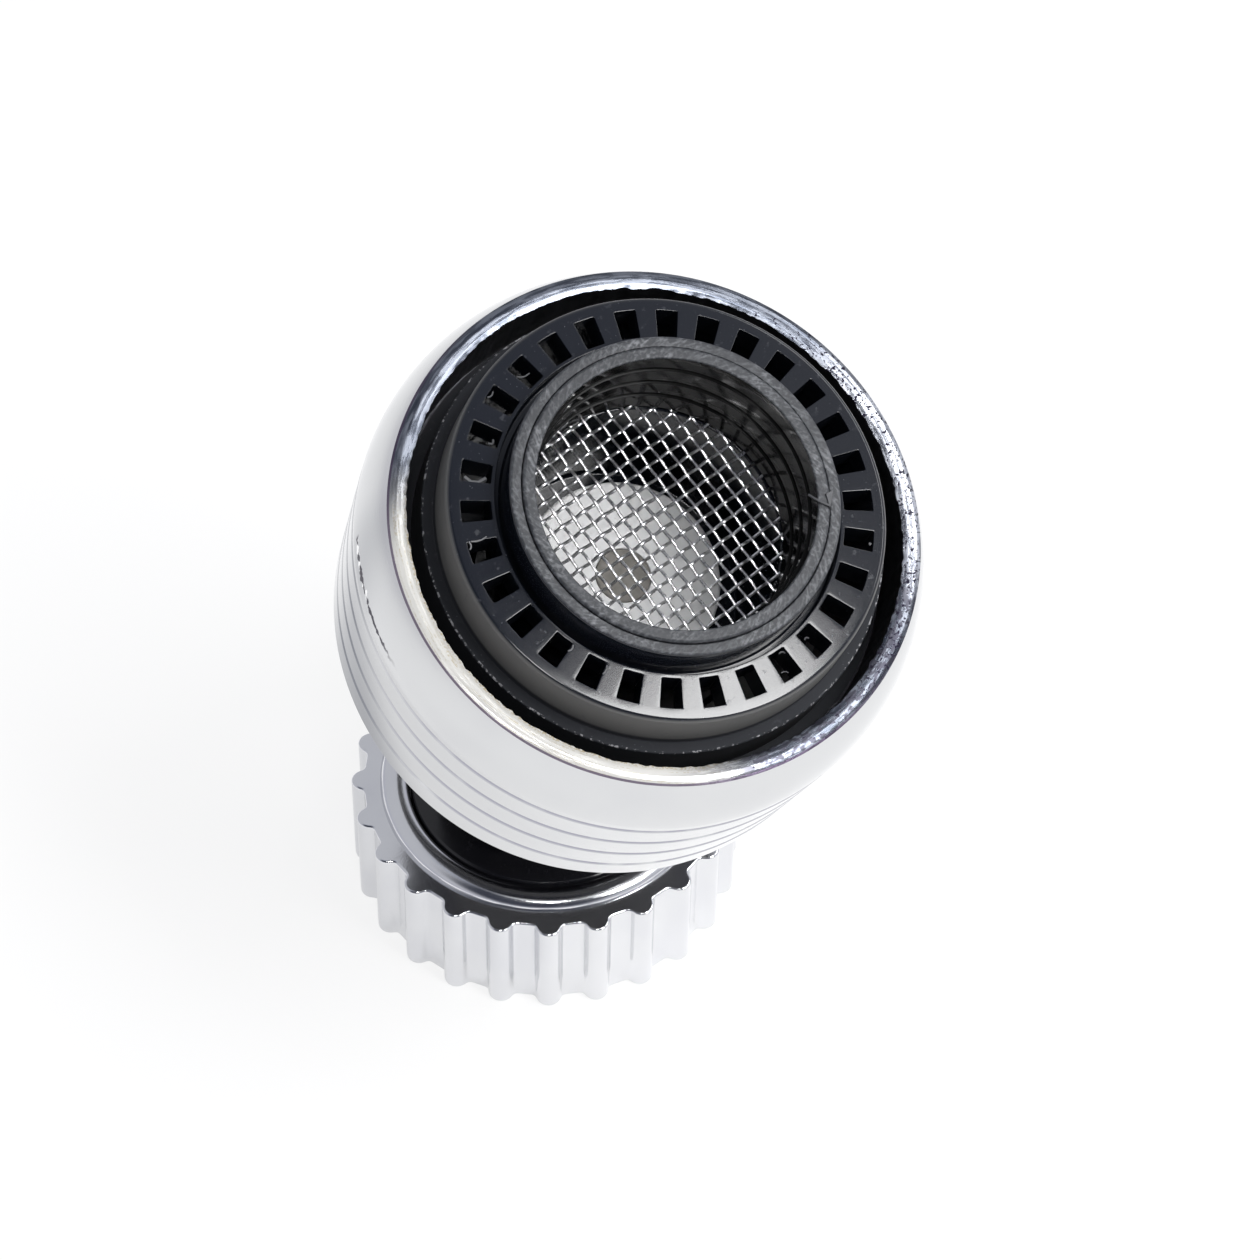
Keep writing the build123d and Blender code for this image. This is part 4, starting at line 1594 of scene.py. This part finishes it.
    def rim_point(self, radius: float, height: float, angle: float) -> Point:
        """Point of the shell, pushed about where it lies on the rim's inner edge.

        Args:
            radius: its plain radius.
            height: its plain height.
            angle: its direction.

        Returns:
            The point.
        """
        x, y = math.cos(angle), math.sin(angle)
        reach = self.ragged_reach
        if height > self.rim - reach and radius < self.rim_inner + reach:
            fine = noise.noise((x * self.ragged_fine, y * self.ragged_fine, 3.7))
            coarse = noise.noise((x * self.ragged_coarse, y * self.ragged_coarse, 8.1))
            radius += self.ragged * (fine + 0.6 * coarse)
            height += 0.35 * self.ragged * coarse
        return (radius * x, radius * y, height)

    def core_angles(self) -> list[float]:
        """Directions of the core's edges: the same cells for every slot and bar.

        Returns:
            The directions.
        """
        pitch = math.tau / self.slot_count
        half = pitch * self.slot_share / 2
        angles = []
        for slot in range(self.slot_count):
            middle = self.slot_start + slot * pitch
            for cell in range(self.slot_cells):
                angles.append(middle - half + 2 * half * cell / self.slot_cells)
            for cell in range(self.bar_cells):
                angles.append(middle + half + (pitch - 2 * half) * cell / self.bar_cells)
        return angles

    def face_level(self, radius: float) -> float:
        """Level of the slotted face, which falls a little outwards."""
        return self.face - self.face_fall * (radius - self.moat_radius)

    def core_section(self) -> list[Corner]:
        """Section of the core, from its collar over the face and flange to its mixing tube.

        Returns:
            Its corners.
        """
        throat = self.tube_back + self.throat_lip
        return [(self.collar_bore, self.collar_top, 0.08),
                (self.collar_radius, self.collar_top, 0.22),
                (self.collar_radius, self.moat_floor, 0.1),
                (self.moat_radius, self.moat_floor, 0.1), (self.moat_radius, self.face, 0.06),
                (self.slot_inner, self.face_level(self.slot_inner), 0.0),
                (self.slot_outer, self.face_level(self.slot_outer), 0.0),
                (self.face_radius, self.face_level(self.face_radius), 0.3),
                (self.face_radius + self.wall_draft, self.flange_level, 0.1),
                (self.flange_radius, self.flange_level, 0.1),
                (self.flange_radius, self.core_seat, 0.0),
                (self.core_seat_radius, self.core_seat, 0.0),
                (self.core_seat_radius, self.step_level, 0.0),
                (self.skirt_radius, self.step_level, 0.0),
                (self.skirt_radius, self.skirt_back, 0.1),
                (self.channel_radius, self.skirt_back, 0.1),
                (self.channel_radius, self.face_back, 0.0), (self.slot_outer, self.face_back, 0.0),
                (self.slot_inner, self.face_back, 0.0), (self.collar_radius, self.face_back, 0.0),
                (self.collar_radius, self.ledge_back, 0.0), (self.tube_outer, self.ledge_back, 0.0),
                (self.tube_outer, self.tube_back, 0.2), (self.throat_radius, self.tube_back, 0.1),
                (self.throat_radius, throat, 0.1), (self.tube_radius, throat, 0.2),
                (self.tube_radius, self.ledge, 0.1), (self.collar_bore, self.ledge, 0.0)]

    def core(self) -> Solid:
        """Moulded core: flange, wall, slotted face, moat, collar, channel, tube, throat and flash.

        Returns:
            The core.
        """
        angles = self.core_angles()
        per_slot = self.slot_cells + self.bar_cells
        gaps = frozenset(cell for cell in range(len(angles)) if cell % per_slot < self.slot_cells)
        core = Solid()
        loops = {point: core.ring(*point, angles) for point in rounded(self.core_section())}
        order = list(loops)
        edges = (self.slot_inner, self.slot_outer)
        window = [(radius, self.face_level(radius)) for radius in edges]
        under = [(radius, self.face_back) for radius in edges]
        for index, first in enumerate(order):
            second = order[(index + 1) % len(order)]
            slotted = {first, second} in (set(window), set(under))
            trimmed = min(first[1], second[1]) > self.collar_top - self.trim_depth
            core.bridge(loops[first], loops[second],
                        CoreFace.TRIMMED if trimmed else CoreFace.MOULDED,
                        gaps if slotted else frozenset())
        for top, low in zip(window, under):
            for cell in sorted(gaps):
                after = (cell + 1) % len(angles)
                core.face((loops[top][cell], loops[top][after],
                           loops[low][after], loops[low][cell]))
        for cell in range(0, len(angles), per_slot):
            for edge in (cell, cell + self.slot_cells):
                core.face([loops[corner][edge] for corner in (*window, *reversed(under))])
        for bit in self.flash:
            core.tube(bit.path(self.face_level(bit.radius)), bit.width / 2, self.flash_sides,
                      CoreFace.PALE_FLASH if bit.pale else CoreFace.DARK_FLASH)
        return core

    def soften_slots(self, work: bmesh.types.BMesh) -> None:
        """Round the slots' corners and take the edge off their rims.

        Args:
            work: the core's joined faces.
        """
        slack, steep, upward = 0.1, math.radians(60), 0.5
        deep = self.face_level(self.slot_outer) - self.face_back

        def by_slot(edge: bmesh.types.BMEdge) -> bool:
            """Whether an edge lies in the slots' ring."""
            return all(self.slot_inner - slack < vert.co.xy.length < self.slot_outer + slack
                       for vert in edge.verts)

        corners = [edge for edge in work.edges
                   if abs(abs(edge.verts[0].co.z - edge.verts[1].co.z) - deep) < slack
                   and by_slot(edge) and edge.calc_face_angle(0.0) > steep]
        bmesh.ops.bevel(work, geom=corners, offset=self.slot_corner, segments=3, profile=0.5,
                        affect="EDGES")
        rims = [edge for edge in work.edges
                if all(abs(vert.co.z - self.face_level(vert.co.xy.length)) < HAIR
                       for vert in edge.verts)
                and sorted(abs(face.normal.z) > upward for face in edge.link_faces) == [False, True]
                and by_slot(edge)]
        bmesh.ops.bevel(work, geom=rims, offset=self.slot_rim, segments=2, profile=0.5,
                        affect="EDGES")
        LOG.info("slots: %d corners and %d rim edges softened", len(corners), len(rims))

    def sleeve(self) -> Solid:
        """Sleeve with a stepped bore, and the torn gate on its top.

        Returns:
            The sleeve.
        """
        top = self.sleeve_top
        foot = self.ledge + self.mesh_thickness
        section = [(self.sleeve_outer, foot, 0.0), (self.sleeve_outer, top, 0.2),
                   (self.sleeve_bore, top, 0.12)]
        rise = (top - foot) / (self.sleeve_steps + 1)
        for step in range(self.sleeve_steps):
            level = top - (step + 1) * rise
            section += [(self.sleeve_bore - step * self.sleeve_step, level, 0.03),
                        (self.sleeve_bore - (step + 1) * self.sleeve_step, level, 0.05)]
        section.append((self.sleeve_bore - self.sleeve_steps * self.sleeve_step, foot, 0.0))
        sleeve = Solid().turn(section, self.sleeve_facets, self.sleeve_bore + HAIR)
        low, high, hook = ([(x, y, top + up) for x, y, up in points]
                           for points in (self.gate_foot, self.gate_head, self.gate_hook))
        sleeve.bar([sleeve.loop(low), sleeve.loop(high)], SleeveFace.TORN)
        sleeve.tube([Vector(point) for point in hook], self.hook_radius, self.hook_sides,
                    SleeveFace.TORN)
        return sleeve

    def mesh(self) -> Solid:
        """Woven wire mesh on the core's ledge."""
        return WireCloth(self.collar_bore - self.mesh_fit, self.mesh_wire,
                         self.ledge + self.mesh_thickness / 2, *self.mesh_pitches,
                         *self.mesh_headings, *self.mesh_starts, self.mesh_crimp).solid()

    def build(self, nodes: dict[str, bpy.types.Object]) -> None:
        """Make and dress all the barrel's pieces.

        Args:
            nodes: the frame's nodes.
        """
        self.seat(self.shell(), "barrel_shell", Slot.CHROME, GRIP_CHROME, WORN_RIM, SHADED_BORE_METAL)
        self.seat(self.core(), "slotted_core", Slot.CORE, CORE_PLASTIC, TORN_PLASTIC, FLASH_PLASTIC,
                  SLEEVE_PLASTIC, soften=self.soften_slots)
        self.seat(self.sleeve(), "mesh_sleeve", Slot.SLEEVE, SLEEVE_PLASTIC, SLEEVE_BORE,
                  FLASH_PLASTIC)
        self.seat(self.mesh(), "outlet_mesh", Slot.WIRE, STEEL_WIRE)
        self.dress(nodes, RUBBER, "core_seal")


@dataclass(frozen=True)
class Softbox:
    """One soft lamp of the studio, aimed at the head."""

    name: str
    place: Point
    width: float
    height: float
    watts: float
    aim: Point = (0.0, -13.0, 40.0)

    def build(self) -> None:
        """Hang the lamp and aim it."""
        lamp = bpy.data.lights.new(self.name, "AREA")
        lamp.shape = "RECTANGLE"
        lamp.size = self.width * MM
        lamp.size_y = self.height * MM
        lamp.energy = self.watts
        holder = bpy.data.objects.new(self.name, lamp)
        back = (Vector(self.place) - Vector(self.aim)).normalized()
        across = (Vector((1.0, 0.0, 0.0)) - back * back.x).normalized()
        facing = Matrix((across, back.cross(across), back)).transposed()
        holder.matrix_world = Matrix.Translation(Vector(self.place) * MM) @ facing.to_4x4()
        bpy.context.scene.collection.objects.link(holder)


@dataclass
class Studio:
    """Pale floor, studio dome, softboxes and the camera."""

    floor_size: float = 3000.0
    floor_level: float = -0.02
    horizon: Colour = (0.50, 0.51, 0.58, 1.0)
    wall: Colour = (0.56, 0.57, 0.61, 1.0)
    ceiling: Colour = (0.36, 0.38, 0.45, 1.0)
    shade: Colour = (0.045, 0.05, 0.07, 1.0)
    wall_band: Band = (0.1, 0.4)
    ceiling_band: Band = (0.86, 0.95)
    shade_towards: Point = (-0.344, -0.537, 0.770)
    shade_band: Band = (0.62, 0.86)
    eye: Point = (-89.88, -150.92, 236.82)
    azimuth: float = math.radians(-32.6)
    elevation: float = math.radians(50.39)
    roll: float = math.radians(1.39)
    focal_pixels: float = 4136.2
    sensor: float = 36.0
    near_clip: float = 10.0
    softboxes: tuple[Softbox, ...] = (
        Softbox("key_softbox", (172.8, -356.7, 520.2), 176.0, 394.0, 3.95),
        Softbox("side_softbox", (350.0, -64.0, 395.0), 90.0, 340.0, 0.75),
        Softbox("front_softbox", (-112.0, -215.0, 427.0), 80.0, 80.0, 0.5))

    def floor(self) -> None:
        """Pale floor under the part."""
        half = self.floor_size / 2
        floor = Solid()
        floor.face(floor.loop((x * half, y * half, self.floor_level)
                              for x, y in ((-1, -1), (1, -1), (1, 1), (-1, 1))))
        floor.build("studio_floor", [PALE_FLOOR])

    def world(self) -> None:
        """Studio dome: white where seen, else a pale wall, a dim ceiling and a dark front."""
        world = bpy.data.worlds.new("studio_dome")
        bpy.context.scene.world = world
        world.use_nodes = True
        recipe = Recipe(world.node_tree)
        x, y, height = recipe.split(recipe.signal("ShaderNodeTexCoord", {}, {}, "Generated"))
        ahead_x, ahead_y, ahead_z = self.shade_towards
        front = x * ahead_x + y * ahead_y + height * ahead_z
        zones = ((self.wall, height.rise(*self.wall_band)),
                 (self.ceiling, height.rise(*self.ceiling_band)),
                 (self.shade, front.rise(*self.shade_band)), (WHITE, recipe.seen()))
        dome = recipe.glow("ShaderNodeBackground", self.horizon)
        for colour, share in zones:
            dome = recipe.blend(share, dome, recipe.glow("ShaderNodeBackground", colour))
        recipe.output("ShaderNodeOutputWorld", dome)

    def camera(self) -> None:
        """Camera where the photograph was taken from."""
        lens = bpy.data.cameras.new("photo_camera")
        lens.sensor_width = self.sensor
        lens.lens = self.focal_pixels / PHOTO_PIXELS * self.sensor
        lens.clip_start = self.near_clip * MM
        holder = bpy.data.objects.new("photo_camera", lens)
        turn = Matrix.Rotation(self.azimuth, 4, "Z")
        turn = turn @ Matrix.Rotation(math.pi / 2 - self.elevation, 4, "X")
        turn = turn @ Matrix.Rotation(self.roll, 4, "Z")
        holder.matrix_world = Matrix.Translation(Vector(self.eye) * MM) @ turn
        bpy.context.scene.collection.objects.link(holder)
        bpy.context.scene.camera = holder

    def build(self) -> None:
        """Set up the whole studio."""
        self.floor()
        self.world()
        self.camera()
        for softbox in self.softboxes:
            softbox.build()
        bpy.context.scene.view_settings.view_transform = "Standard"


def head_place(joints: Sequence[dict]) -> Matrix:
    """Place of the head's own frame.

    Args:
        joints: the frame's joints.

    Returns:
        Matrix from the head's frame to the row frame.
    """
    roll = next(joint for joint in joints if joint["name"] == "head_roll")
    turn = Vector((0.0, 0.0, 1.0)).rotation_difference(Vector(roll["axis"]))
    return Matrix.Translation(Vector(roll["pos_m"])) @ turn.to_matrix().to_4x4()


def main() -> None:
    """Build every sub-assembly and the studio on the loaded frame."""
    logging.basicConfig(level=logging.INFO)
    nodes = frame["nodes"]
    level = Matrix.Identity(4)
    head = head_place(frame["joints"])
    NutAssembly("nut", level).build(nodes)
    StemAssembly("stem", level).build()
    SubAssembly.dress(nodes, ACETAL, "ball_seat")
    SubAssembly.dress(nodes, RUBBER, "ball_seal")
    TailAssembly("tail", head).build(nodes)
    BarrelAssembly("barrel", head).build(nodes)
    Studio().build()


if __name__ == "__main__":
    main()
